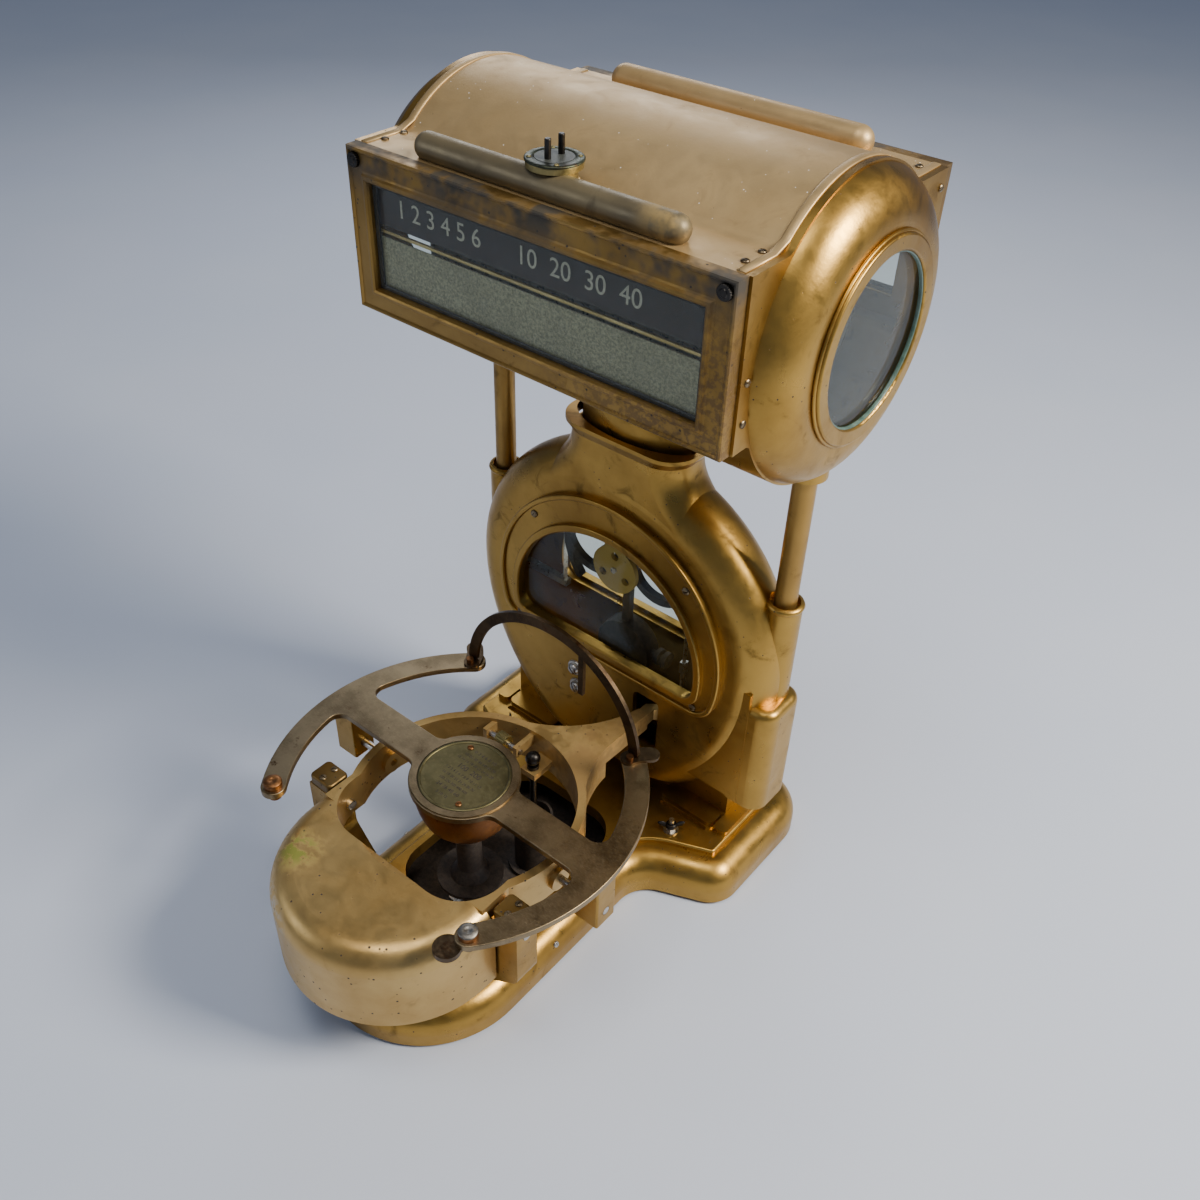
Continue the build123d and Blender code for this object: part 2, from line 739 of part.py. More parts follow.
lever_low_z = 134.0
web_low_z = 154.0
with BuildPart() as lever_casting:
    with BuildSketch(Plane.XY.offset(lobe_low_z)):
        add(lobe_profile(0))
    extrude(amount=lever_top_z - lobe_low_z)
    fillet(lever_casting.edges().group_by(Axis.Z)[-1].sort_by(Axis.Y)[:-1], 24)
    # hollow of the lobe, open underneath
    with BuildSketch(Plane.XY.offset(lobe_low_z)):
        add(lobe_profile(11))
    extrude(amount=lever_top_z - 12 - lobe_low_z, mode=Mode.SUBTRACT)
    # ring around the hub, with side arms back from the lobe
    with BuildSketch(Plane.XY.offset(lever_low_z)):
        with Locations((0, hub_y)):
            Circle(ring_out_r)
        with Locations((0, fulcrum_y + 6)):
            Rectangle(2 * 101, 52)
    extrude(amount=lever_top_z - lever_low_z)
    # opening around the hub
    with BuildSketch(Plane.XY.offset(lever_low_z - 1)):
        with Locations((0, hub_y)):
            Circle(ring_in_r)
        with Locations((0, hub_y - 50)):
            RectangleRounded(190, 100, 46)
    extrude(amount=60, mode=Mode.SUBTRACT)
    # bosses for the knife pins
    with Locations(along_x(-109, hub_y, pivot_z), along_x(109, hub_y, pivot_z)):
        Cylinder(12, 18)
    # web from the ring to the nose, and the finger that enters the case
    with BuildSketch(Plane.XY.offset(web_low_z)):
        with BuildLine():
            ThreePointArc((50, post_y - 46), (26, post_y - 97), (-26, hub_y + 109))
            Line((-26, hub_y + 109), (-26, hub_y + 103.5))
            ThreePointArc((-26, hub_y + 103.5), (48, hub_y + 95), (90, hub_y + 57))
            Line((90, hub_y + 57), (96, hub_y + 57))
            ThreePointArc((96, hub_y + 57), (70, post_y - 150), (60, post_y - 110))
            Polyline((60, post_y - 110), (62, post_y - 46), (50, post_y - 46))
        make_face()
    extrude(amount=lever_top_z - web_low_z)
    # deep rib under the web's right edge
    with BuildSketch(Plane.XY.offset(lever_low_z)):
        with BuildLine():
            Line((90, hub_y + 57), (98, hub_y + 57))
            ThreePointArc((98, hub_y + 57), (70, post_y - 150), (60, post_y - 110))
            Line((60, post_y - 110), (51, post_y - 110))
            ThreePointArc((51, post_y - 110), (61, post_y - 150), (90, hub_y + 57))
        make_face()
    extrude(amount=web_low_z - lever_low_z + 1)
    with BuildSketch(Plane.XY.offset(160)):
        with BuildLine():
            Polyline((50, post_y - 60), (62, post_y - 60), (62, post_y - 36), (82, post_y - 20),
                     (82, post_y - 4), (70, post_y - 4), (70, post_y - 18), (50, post_y - 34),
                     close=True)
        make_face()
    extrude(amount=14)
    # lug for the dashpot's rod and two for the balance rod
    with Locations((dash_x, post_y - 152, 148)):
        Box(18, 32, 7)
    for lug_x in (balance_x - 20, balance_x + 20):
        lug_back = hub_y + math.sqrt(ring_in_r ** 2 - lug_x ** 2) + 3
        with Locations((lug_x, (balance_y - 5 + lug_back) / 2, balance_z)):
            Box(5, lug_back - balance_y + 5, 12)
    # holes
    with Locations((dash_x, dash_y, 148)):
        Cylinder(4.6, 20, mode=Mode.SUBTRACT)
    with Locations(along_x(balance_x, balance_y, balance_z)):
        Cylinder(2.5, 60, mode=Mode.SUBTRACT)
    with Locations(along_x(0, fulcrum_y, pivot_z)):
        Cylinder(fulcrum_pin_r, 220, mode=Mode.SUBTRACT)
    with Locations(along_x(0, hub_y, pivot_z)):
        Cylinder(load_pin_r, 260, mode=Mode.SUBTRACT)
    with Locations(along_x(nose_x, nose_y, nose_z)):
        Cylinder(3, 30, mode=Mode.SUBTRACT)
finish(lever_casting, "lever_casting")

with BuildPart() as loading_weight:
    with BuildSketch(Plane.XY.offset(lobe_low_z + 6)):
        add(lobe_profile(11))
    extrude(amount=24)
finish(loading_weight, "loading_weight")

with BuildPart() as knife_pins:
    for side in (-1, 1):
        with Locations(along_x(side * 112, fulcrum_y, pivot_z)):
            Cylinder(fulcrum_pin_r, 46)
        with Locations(along_x(side * 138, hub_y, pivot_z)):
            Cylinder(load_pin_r, 64)
    with Locations(along_x(nose_x, nose_y, nose_z)):
        Cylinder(3, 22)
finish(knife_pins, "knife_pins")

with BuildPart() as balance_rod:
    with Locations(along_x(balance_x, balance_y, balance_z)):
        Cylinder(2.5, 50)
finish(balance_rod, "balance_rod")

with BuildPart() as balance_nut:
    with BuildSketch(side_plane(balance_x - 6)):
        with Locations((balance_y, balance_z)):
            Circle(8)
            with PolarLocations(8, 20):
                Circle(0.7, mode=Mode.SUBTRACT)
            Circle(2.5 + running, mode=Mode.SUBTRACT)
    extrude(amount=12)
finish(balance_nut, "balance_nut")

with BuildPart() as dashpot_plunger:
    with Locations((dash_x, dash_y, 40)):
        Cylinder(16.9, 6, align=on_base)
        Cylinder(3.4, 125, align=on_base)
    with Locations((dash_x, dash_y, 152.6)):
        Cylinder(6, 4, align=on_base)
    with Locations((dash_x, dash_y, 139.4)):
        Cylinder(6, 4, align=on_base)
    with Locations((dash_x, dash_y, 165)):
        Sphere(7.5)
finish(dashpot_plunger, "dashpot_plunger")

# ================================================================ platform
with BuildPart() as spider_frame:
    with BuildSketch(Plane.XY.offset(spider_z)):
        with Locations((0, hub_y)):
            Circle(52)
            Rectangle(2 * spider_mid_r, cross_arm_w)
        for side in (-1, 1):
            add(arc_band(
                (side * button_front[0], button_front[1]), (side * spider_mid_r, hub_y),
                (side * button_rear[0], button_rear[1]), 23))
        corners = vertices().filter_by(
            lambda v: 30 < abs(v.X) < 160 and abs(v.Y - hub_y) < 26)
        fillet(corners, 12)
    extrude(amount=spider_t)
    fillet(spider_frame.edges().group_by(Axis.Z)[-1], 0.8)
    with Locations((0, hub_y, spider_z + spider_t)):
        Cylinder(50.5, 1.5, align=on_base)
        Cylinder(44, 1.5, align=on_base, mode=Mode.SUBTRACT)
    for sign_x in (-1, 1):
        for x, y in (button_front, button_rear):
            with Locations((sign_x * x, y, spider_z)):
                Cylinder(4, 20, mode=Mode.SUBTRACT)
finish(spider_frame, "spider_frame")

with BuildPart() as hub_cup:
    with BuildSketch(Plane.XZ.offset(-hub_y)):
        with BuildLine():
            Line((0, spider_z), (49, spider_z))
            Spline((49, spider_z), (47, 178), (41, 158))
            Line((41, 158), (34, cup_low_z))
            Polyline((34, cup_low_z), (0, cup_low_z), (0, 155), (31, 155))
            Line((31, 155), (37, 162))
            Spline((37, 162), (42.5, 178), (44, 192))
            Polyline((44, 192), (0, 192), (0, spider_z))
        make_face()
    revolve(axis=Axis((0, hub_y, 0), (0, 0, 1)))
finish(hub_cup, "hub_cup")

with BuildPart() as hub_stem:
    with Locations((0, hub_y, stem_low_z)):
        Cylinder(8, 48, align=on_base)
    with Locations((0, hub_y, 62)):
        Cylinder(12.5, cup_low_z - 62, align=on_base)
        Cylinder(33, 4, align=on_base)
    with Locations((0, hub_y, 66)):
        Cone(20, 12.5, 12, align=on_base)
    with Locations(along_x(0, hub_y, link_z)):
        Cylinder(3 + loose, 40, mode=Mode.SUBTRACT)
finish(hub_stem, "hub_stem")

with BuildPart() as check_link:
    with BuildSketch(Plane.XY.offset(link_z - 5)):
        with Locations((0, fulcrum_y)):
            Circle(8)
        with Locations((0, (fulcrum_y + hub_y) / 2)):
            Rectangle(16, hub_y - fulcrum_y)
        with Locations((0, hub_y - 1)):
            RectangleRounded(34, 34, 4)
        with Locations((0, hub_y + 8)):
            Rectangle(20, 40, mode=Mode.SUBTRACT)
    extrude(amount=10)
    with Locations(along_x(0, fulcrum_y, link_z)):
        Cylinder(4, 30)
    with Locations(along_x(0, hub_y, link_z)):
        Cylinder(3, 33)
finish(check_link, "check_link")

with BuildPart() as name_plate:
    with Locations((0, hub_y, spider_z + spider_t)):
        Cylinder(43.5, 1.0, align=on_base)
finish(name_plate, "name_plate")

with BuildPart() as plate_screws:
    with Locations((0, hub_y, spider_z + spider_t + 1)):
        with PolarLocations(35, 2, 125):
            Cylinder(3, 1.2, align=on_base)
finish(plate_screws, "plate_screws")

with BuildPart() as load_bearings:
    for side in (-1, 1):
        with Locations((side * 156.5, hub_y, 138)):
            Box(27, 25, spider_z - 138, align=on_base)
    fillet(load_bearings.edges().filter_by(Axis.Z), 2)
    with Locations(along_x(0, hub_y, pivot_z)):
        Cylinder(load_pin_r + loose, 400, mode=Mode.SUBTRACT)
finish(load_bearings, "load_bearings")

fence_y = post_y - 124.5
fence_z = spider_z + spider_t
with BuildPart() as fence:
    with BuildSketch(front_plane(fence_y + 2)):
        add(arc_band(
            (-button_rear[0], fence_z + 8), (0, fence_z + 101), (button_rear[0], fence_z + 8), 11))
        with Locations((38, fence_z + 68)):
            Rectangle(6, 52)
    extrude(amount=4)
    with Locations((0, fence_y, fence_z)):
        Box(400, 40, 30, align=(Align.CENTER, Align.CENTER, Align.MAX), mode=Mode.SUBTRACT)
    for side in (-1, 1):
        with BuildSketch(Plane.XY.offset(fence_z)):
            add(arc_band(
                (side * (button_rear[0] - 2), fence_y - 5), (side * (button_rear[0] + 3), fence_y + 4),
                (side * (button_rear[0] + 11), fence_y + 12), 17))
        extrude(amount=3)
finish(fence, "fence")

with BuildPart() as platter_buttons:
    for side in (-1, 1):
        with Locations((side * button_front[0], button_front[1], spider_z + spider_t)):
            Cylinder(8.5, 5, align=on_base)
        with Locations((side * button_front[0], button_front[1], spider_z - 6)):
            Cylinder(4, 12, align=on_base)
        with Locations((side * button_front[0], button_front[1], spider_z - 8)):
            Cylinder(6, 2, align=on_base)
        with Locations((side * button_rear[0], button_rear[1], spider_z - 2)):
            Cylinder(4, 8, align=on_base)
        with Locations((side * button_rear[0], button_rear[1] - 6.2, fence_z + 3)):
            Cylinder(3.6, 4, align=on_base)
finish(platter_buttons, "platter_buttons")

with BuildPart() as swivel_leaf:
    with BuildSketch(Plane.XY.offset(spider_z - 5.6)):
        with Locations((button_front[0], button_front[1])):
            Circle(8)
        with Locations((button_front[0] - 9, button_front[1] - 16)):
            Circle(12)
        with Locations((button_front[0] - 4.5, button_front[1] - 8)):
            Rectangle(12, 12)
        with Locations((button_front[0], button_front[1])):
            Circle(4 + running, mode=Mode.SUBTRACT)
    extrude(amount=5.2)
finish(swivel_leaf, "swivel_leaf")

# ================================================================ linkage in the case
with BuildPart() as nose_rod:
    for ear_x in (nose_x - 8.8, nose_x + 8.8):
        with Locations((ear_x, nose_y, nose_z)):
            Box(3, 10, 24)
        with Locations(along_x(ear_x, nose_y, nose_z)):
            Cylinder(3 + loose, 10, mode=Mode.SUBTRACT)
    with Locations((nose_x, nose_y, nose_z + 12)):
        Box(20.6, 10, 5, align=on_base)
    with Locations((nose_x, nose_y, nose_z + 17)):
        Cylinder(2.5, 40, align=on_base)
    with Locations((nose_x, nose_y, nose_z + 50)):
        Box(6, 7, 14, align=on_base)
    with Locations((power_r, nose_y, nose_z + 60)):
        Box(tape_t, 6, pendulum_z - nose_z - 60, align=on_base)
finish(nose_rod, "nose_rod")

pendulum_t = 8.0
with BuildPart() as pendulum_frame:
    with BuildSketch(front_plane(pendulum_y + pendulum_t / 2)):
        with Locations((0, pendulum_z)):
            Circle(14)
        with Locations((3, pendulum_z - 45)):
            Rectangle(8, 80)
        # shoes for the tapes: the nose rod's on the right, the rack's on the left
        for side, shoe_r, low, high in (
            (1, power_r - 4.6, -8, 32),
            (-1, rack_arm_r - 4.6, -38, 12),
        ):
            places = []
            for angle in (low, (low + high) / 2, high):
                place_x, place_z = polar((0, pendulum_z), shoe_r, angle)
                places.append((side * place_x, place_z))
            add(arc_band(*places, 7))
            add(arc_band(
                (side * 8, pendulum_z - 4), (side * 34, pendulum_z - 28),
                (side * (shoe_r - 1), pendulum_z - 6), 8))
    extrude(amount=pendulum_t)
    with Locations(along_y(0, pendulum_y, pendulum_z)):
        Cylinder(shaft_r, 40, mode=Mode.SUBTRACT)
finish(pendulum_frame, "pendulum_frame")

with BuildPart() as pendulum_shaft:
    with Locations(along_y(0, post_y - 9, pendulum_z)):
        Cylinder(shaft_r, 50)
finish(pendulum_shaft, "pendulum_shaft")

with BuildPart() as pendulum_weight:
    with Locations(along_y(6, pendulum_y, pendulum_z - 105)):
        Cylinder(32, 20)
    with Locations((3, pendulum_y, pendulum_z - 70)):
        Box(8.0, 8.0, 60, mode=Mode.SUBTRACT)
    with Locations(along_x(47, pendulum_y, pendulum_z - 100)):
        Cylinder(4, 24)
    with Locations(along_x(46, pendulum_y, pendulum_z - 100), along_x(55, pendulum_y, pendulum_z - 100)):
        Cylinder(9, 5)
finish(pendulum_weight, "pendulum_weight")

rack_tooth = math.pi * pinion_r / 8
rack_face_y = drum_y + pinion_r
arm_z = 250.0
with BuildPart() as rack_rod:
    with Locations((-rack_arm_r, pendulum_y, arm_z)):
        Box(tape_t, 6, pendulum_z - arm_z, align=on_base)
    with Locations(((rack_x - rack_arm_r) / 2, pendulum_y + 2, arm_z)):
        Box(abs(rack_x) - rack_arm_r + 6, 8, 7)
    with Locations((rack_x, rack_face_y + 3.1, arm_z)):
        Box(5, 5, 400, align=on_base)
    for step in range(-16, 4):
        tooth_z = drum_z + (step + 0.5) * rack_tooth
        with BuildSketch(side_plane(rack_x - 2.5)):
            with BuildLine():
                Polyline(
                    (rack_face_y + 0.7, tooth_z - 0.42), (rack_face_y - 0.45, tooth_z - 0.16),
                    (rack_face_y - 0.45, tooth_z + 0.16), (rack_face_y + 0.7, tooth_z + 0.42),
                    close=True)
            make_face()
        extrude(amount=5)
finish(rack_rod, "rack_rod")

# ================================================================ chart drum
with BuildPart() as chart_drum:
    with Locations(along_x(0, drum_y, drum_z)):
        Cylinder(drum_r, 2 * drum_half)
        Cylinder(drum_r - 1, 2 * drum_half, mode=Mode.SUBTRACT)
finish(chart_drum, "chart_drum")

with BuildPart() as drum_wheels:
    for wheel_x in (-drum_half + 4, drum_half - 8):
        with BuildSketch(side_plane(wheel_x)):
            with Locations((drum_y, drum_z)):
                Circle(drum_r - 1)
                Circle(drum_r - 8, mode=Mode.SUBTRACT)
                Circle(12)
                with PolarLocations(50, 6):
                    Rectangle(80, 8)
                Circle(shaft_r, mode=Mode.SUBTRACT)
        extrude(amount=4)
finish(drum_wheels, "drum_wheels")

with BuildPart() as drum_shaft:
    with Locations(along_x(-4, drum_y, drum_z)):
        Cylinder(shaft_r, 344)
finish(drum_shaft, "drum_shaft")

with BuildPart() as drum_pinion:
    with BuildSketch(side_plane(rack_x - 3)):
        with Locations((drum_y, drum_z)):
            Circle(pinion_r - 0.5)
        with Locations((drum_y, drum_z)):
            for step in range(pinion_teeth):
                turn = 360 / pinion_teeth * step
                with Locations(Location((0, 0, 0), (0, 0, turn))):
                    Polygon((3.3, -0.42), (4.4, -0.15), (4.4, 0.15), (3.3, 0.42), align=None)
            Circle(shaft_r, mode=Mode.SUBTRACT)
    extrude(amount=6)
finish(drum_pinion, "drum_pinion")
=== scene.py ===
"""Lighted drum counter scale: materials, small pieces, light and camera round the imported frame."""
import json
import math
import random
from collections import namedtuple

import bmesh
import bpy
from mathutils import Matrix, Vector


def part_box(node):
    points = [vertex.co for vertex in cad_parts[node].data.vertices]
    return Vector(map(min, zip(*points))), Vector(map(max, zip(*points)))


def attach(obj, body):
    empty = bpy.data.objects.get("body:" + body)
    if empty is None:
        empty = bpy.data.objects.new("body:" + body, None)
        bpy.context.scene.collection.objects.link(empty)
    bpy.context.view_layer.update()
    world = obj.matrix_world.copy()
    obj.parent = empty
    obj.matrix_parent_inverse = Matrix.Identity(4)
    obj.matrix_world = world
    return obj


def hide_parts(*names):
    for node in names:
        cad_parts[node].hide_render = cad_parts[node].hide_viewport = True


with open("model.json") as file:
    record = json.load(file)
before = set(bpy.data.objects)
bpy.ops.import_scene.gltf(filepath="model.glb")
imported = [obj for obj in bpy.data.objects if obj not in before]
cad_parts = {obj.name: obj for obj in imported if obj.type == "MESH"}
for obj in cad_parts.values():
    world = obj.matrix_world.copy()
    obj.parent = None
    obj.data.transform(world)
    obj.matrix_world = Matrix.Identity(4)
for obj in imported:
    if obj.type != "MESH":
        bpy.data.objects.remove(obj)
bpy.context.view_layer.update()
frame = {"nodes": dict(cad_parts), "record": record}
nodes = frame["nodes"]
random.seed(7)

MM = 0.001
WELD = 1e-6

# Places that several pieces share, in metres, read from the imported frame.
post_low, post_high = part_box("posts")
post_plane = (post_low.y + post_high.y) / 2
drum_low, drum_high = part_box("chart_drum")
drum_y = (drum_low.y + drum_high.y) / 2
drum_z = (drum_low.z + drum_high.z) / 2


# ------------------------------------------------------------------ camera, light and floor
def make_camera():
    """The photograph's viewing angle: above, in front and to the right."""
    place = (0.554, -0.6075, 1.031)
    azimuth = math.radians(38.6)
    height = math.radians(39.43)
    roll = math.radians(1.75)
    back = Vector((math.sin(azimuth) * math.cos(height),
                   -math.cos(azimuth) * math.cos(height), math.sin(height)))
    level = Vector((math.cos(azimuth), math.sin(azimuth), 0))
    up = back.cross(level)
    right = level * math.cos(roll) + up * math.sin(roll)
    up = up * math.cos(roll) - level * math.sin(roll)
    turn = Matrix((right, up, back)).transposed().to_4x4()
    data = bpy.data.cameras.new("camera")
    data.sensor_width = 36
    data.lens = 36.0
    data.shift_x = 0.009
    data.shift_y = 0.003
    data.clip_start = 0.02
    data.clip_end = 60
    camera = bpy.data.objects.new("camera", data)
    camera.matrix_world = Matrix.Translation(place) @ turn
    bpy.context.scene.collection.objects.link(camera)
    bpy.context.scene.camera = camera


def area_light(name, place, size, power, colour):
    """Soft rectangular light aimed at the middle of the object."""
    data = bpy.data.lights.new(name, "AREA")
    data.shape = "RECTANGLE"
    data.size = size[0]
    data.size_y = size[1]
    data.energy = power
    data.color = colour
    light = bpy.data.objects.new(name, data)
    target = Vector((0, 0, 0.35))
    aim = (target - Vector(place)).to_track_quat("-Z", "Y")
    light.matrix_world = Matrix.Translation(place) @ aim.to_matrix().to_4x4()
    bpy.context.scene.collection.objects.link(light)


def make_light():
    """Strong warm key from the right, weak cool fill, soft top light and a blue-grey surround."""
    area_light("key", (2.0, 0.75, 2.0), (0.85, 0.85), 112, (1.0, 0.94, 0.84))
    area_light("fill", (-1.6, -1.9, 1.3), (1.6, 1.0), 9, (0.84, 0.90, 1.0))
    area_light("top", (0.2, -0.5, 2.6), (1.0, 1.0), 20, (1.0, 0.98, 0.94))
    area_light("rim", (-1.5, 1.7, 1.5), (1.2, 0.8), 12, (0.90, 0.94, 1.0))
    world = bpy.data.worlds.new("studio")
    world.use_nodes = True
    background = world.node_tree.nodes["Background"]
    background.inputs["Color"].default_value = (0.38, 0.47, 0.66, 1)
    background.inputs["Strength"].default_value = 0.30
    bpy.context.scene.world = world


def make_floor():
    """Plain pale floor, far wider than the object."""
    bpy.ops.mesh.primitive_plane_add(size=14, location=(0, 0, 0))
    floor = bpy.context.object
    floor.name = "floor"
    look = Look("floor_pale", (0.56, 0.61, 0.71), roughness=0.75)
    look.set("Base Color", look.mix(look.noise(3, 2), (0.53, 0.585, 0.70), (0.60, 0.64, 0.73)))
    floor.data.materials.append(look.material)


# ------------------------------------------------------------------ materials
CHIPPED = (0.028, 0.018, 0.010)
DUST = (0.86, 0.82, 0.74)
RUST = (0.075, 0.032, 0.014)

# A patch of another colour: its place, its reach, how each axis is squashed, and its noise scale.
ColourPatch = namedtuple("ColourPatch", "centre radius squash colour strength scale")


class Look:
    """A principled material with short calls for its procedural detail, in metres of the row frame."""

    def __init__(self, name, colour, roughness=0.5, metallic=0.0):
        self.material = bpy.data.materials.new(name)
        self.material.use_nodes = True
        self.tree = self.material.node_tree
        self.tree.nodes.clear()
        self.output = self.add("OutputMaterial")
        self.shader = self.add("BsdfPrincipled", Base_Color=colour, Roughness=roughness, Metallic=metallic)
        self.feed(self.output.inputs[0], self.shader.outputs[0])
        self.place = self.add("TexCoord").outputs["Object"]

    def feed(self, socket, value):
        """Link a socket, or set a number, a vector or a colour."""
        if isinstance(value, bpy.types.NodeSocket):
            self.tree.links.new(value, socket)
        elif socket.type == "RGBA":
            socket.default_value = (*value, 1)
        else:
            socket.default_value = value

    def add(self, kind, **inputs):
        """New node with its inputs fed; an underscore stands for the space in an input's name."""
        node = self.tree.nodes.new("ShaderNode" + kind)
        for name, value in inputs.items():
            self.feed(node.inputs[name.replace("_", " ")], value)
        return node

    def operate(self, kind, operation, first, second):
        """New math or vector math node on two values."""
        node = self.add(kind)
        node.operation = operation
        self.feed(node.inputs[0], first)
        self.feed(node.inputs[1], second)
        return node

    def set(self, name, value):
        """Feed one input of the material's shader."""
        self.feed(self.shader.inputs[name], value)

    def stretched(self, scale):
        """The place, scaled apart along X, Y and Z."""
        return self.add("Mapping", Vector=self.place, Scale=scale).outputs[0]

    def noise(self, scale, detail=4, rough=0.55, vector=None, distortion=0.0):
        """Clouds, mostly between 0.3 and 0.7."""
        return self.add("TexNoise", Vector=vector or self.place, Scale=scale, Detail=detail,
                        Roughness=rough, Distortion=distortion).outputs[0]

    def cells(self, scale):
        """Distance to the nearest of many scattered points."""
        return self.add("TexVoronoi", Vector=self.place, Scale=scale).outputs["Distance"]

    def steps(self, value, low, high):
        """0 below low, 1 above high, smooth between; low above high turns it round."""
        if low < high:
            node = self.add("MapRange", Value=value, From_Min=low, From_Max=high, To_Min=0.0, To_Max=1.0)
        else:
            node = self.add("MapRange", Value=value, From_Min=high, From_Max=low, To_Min=1.0, To_Max=0.0)
        node.interpolation_type = "SMOOTHSTEP"
        return node.outputs[0]

    def scale_to(self, value, low, high):
        """Noise brought between two numbers."""
        return self.add("MapRange", Value=value, From_Min=0.3, From_Max=0.7, To_Min=low,
                        To_Max=high).outputs[0]

    def math(self, operation, first, second=0.0):
        """One operation on two numbers."""
        return self.operate("Math", operation, first, second).outputs[0]

    def mix(self, factor, first, second):
        """Colour between two colours; the node's colour inputs are its seventh and eighth."""
        node = self.add("Mix", Factor=factor)
        node.data_type = "RGBA"
        self.feed(node.inputs[6], first)
        self.feed(node.inputs[7], second)
        return node.outputs[2]

    def near(self, centre, radius, squash):
        """1 at a place on the object, falling to 0 at a radius from it."""
        shift = self.operate("VectorMath", "SUBTRACT", self.place, centre)
        spread = self.operate("VectorMath", "MULTIPLY", shift.outputs[0], squash)
        length = self.operate("VectorMath", "LENGTH", spread.outputs[0], (0, 0, 0))
        return self.steps(length.outputs["Value"], radius, radius * 0.25)

    def axis(self, index):
        """One coordinate of the place."""
        return self.add("SeparateXYZ", Vector=self.place).outputs[index]

    def bump(self, height, depth, strength):
        """Relief of a depth in metres from a height."""
        self.set("Normal", self.add("Bump", Height=height, Distance=depth, Strength=strength).outputs[0])


def gold_paint(name, light, dark, roughness=0.36, pits=0.10, grime=0.35, metallic=0.82, specks=0.0,
               stains=()):
    """Old metallic gold paint: cloudy tone, brown grime, small dark chips and a fine skin."""
    look = Look(name, light, roughness, metallic)
    clouds = look.noise(9, 5, 0.6)
    streaks = look.noise(38, 6, 0.62, distortion=0.6)
    tone = look.mix(look.steps(clouds, 0.34, 0.78), light, dark)
    brown = tuple(c * 0.36 for c in dark)
    dirt = look.math("MULTIPLY", look.steps(streaks, 0.56, 0.74), grime)
    tone = look.mix(dirt, tone, brown)
    chips = look.steps(look.cells(115), pits, pits * 0.6)
    chips = look.math("MULTIPLY", chips, look.steps(look.noise(26, 2), 0.46, 0.53))
    tone = look.mix(chips, tone, CHIPPED)
    marked_areas = chips
    # Each patch mixes in another colour: real stains, and in some materials painted shade, painted shadows
    # and a painted highlight.
    for stain in stains:
        patch = look.math("MULTIPLY", look.near(stain.centre, stain.radius, stain.squash),
                          look.steps(look.noise(stain.scale, 5, 0.7), 0.44, 0.56))
        patch = look.math("MULTIPLY", patch, stain.strength)
        tone = look.mix(patch, tone, stain.colour)
        marked_areas = look.math("MAXIMUM", marked_areas, patch)
    if specks:
        dust = look.steps(look.cells(135), specks, specks * 0.5)
        dust = look.math("MULTIPLY", dust, look.steps(look.noise(34, 1), 0.48, 0.54))
        tone = look.mix(dust, tone, DUST)
        marked_areas = look.math("MAXIMUM", marked_areas, dust)
    look.set("Base Color", tone)
    dull = look.scale_to(streaks, roughness - 0.06, roughness + 0.14)
    look.set("Roughness", look.math("ADD", dull, look.math("MULTIPLY", marked_areas, 0.3)))
    look.set("Metallic", look.math("SUBTRACT", metallic, look.math("MULTIPLY", marked_areas, metallic)))
    skin = look.math("ADD", look.math("MULTIPLY", look.noise(420, 3), 0.5),
                     look.math("MULTIPLY", look.noise(70, 3), 1.0))
    height = look.math("SUBTRACT", skin, look.math("MULTIPLY", marked_areas, 0.8))
    look.bump(height, 0.00022, 0.55)
    return look.material


def worn_metal(name, light, dark, roughness, grain=(1, 1, 1), rust=0.0):
    """Bare or plated metal with brushed scratches, tarnish clouds and an optional brown bloom."""
    look = Look(name, light, roughness, 1.0)
    clouds = look.noise(24, 5, 0.6)
    brushed = look.noise(320, 4, 0.6, vector=look.stretched(grain))
    tone = look.mix(look.steps(clouds, 0.34, 0.68), light, dark)
    scratches = look.math("MULTIPLY", look.steps(brushed, 0.5, 0.7), 0.3)
    tone = look.mix(scratches, tone, tuple(min(1, c * 1.5) for c in light))
    if rust:
        bloom = look.steps(look.noise(75, 6, 0.7), 0.66 - rust * 0.3, 0.74)
        tone = look.mix(bloom, tone, RUST)
    look.set("Base Color", tone)
    look.set("Roughness", look.scale_to(brushed, roughness - 0.08, roughness + 0.14))
    look.bump(look.math("ADD", brushed, look.noise(160, 2)), 0.00008, 0.5)
    return look.material


def granular(name, light, dark, scale, roughness, depth=0.0002):
    """Speckled enamel, fibre or glass, and the window screen's speckle, which is a painted reflection of the
    ground.
    """
    look = Look(name, light, roughness)
    grain = look.noise(scale, 6, 0.75)
    tone = look.mix(look.steps(grain, 0.38, 0.62), dark, light)
    patches = look.math("MULTIPLY", look.steps(look.noise(18, 4), 0.42, 0.7), 0.35)
    look.set("Base Color", look.mix(patches, tone, dark))
    look.bump(grain, depth, 0.6)
    return look.material


def clear_glass(name, tint, film, roughness=0.04):
    """Old window glass: tinted clear sheet under a glossy skin, with faint dust."""
    look = Look(name, (0.86, 0.90, 0.88), roughness, 1.0)
    dust = look.steps(look.noise(130, 6, 0.7), 0.50, 0.80)
    look.set("Roughness", look.math("ADD", look.math("MULTIPLY", dust, 0.25), roughness))
    look.bump(look.noise(16, 2), 0.0004, 0.10)
    clear = look.add("BsdfTransparent", Color=tint)
    facing = look.add("LayerWeight").outputs["Facing"]
    mirror = look.math("ADD", look.math("MULTIPLY", look.math("POWER", facing, 4.0), 0.5), 0.022)
    cover = look.math("ADD", mirror, look.math("MULTIPLY", dust, film))
    blend = look.add("MixShader")
    for socket, source in zip(blend.inputs, (cover, clear.outputs[0], look.shader.outputs[0])):
        look.feed(socket, source)
    look.feed(look.output.inputs[0], blend.outputs[0])
    return look.material


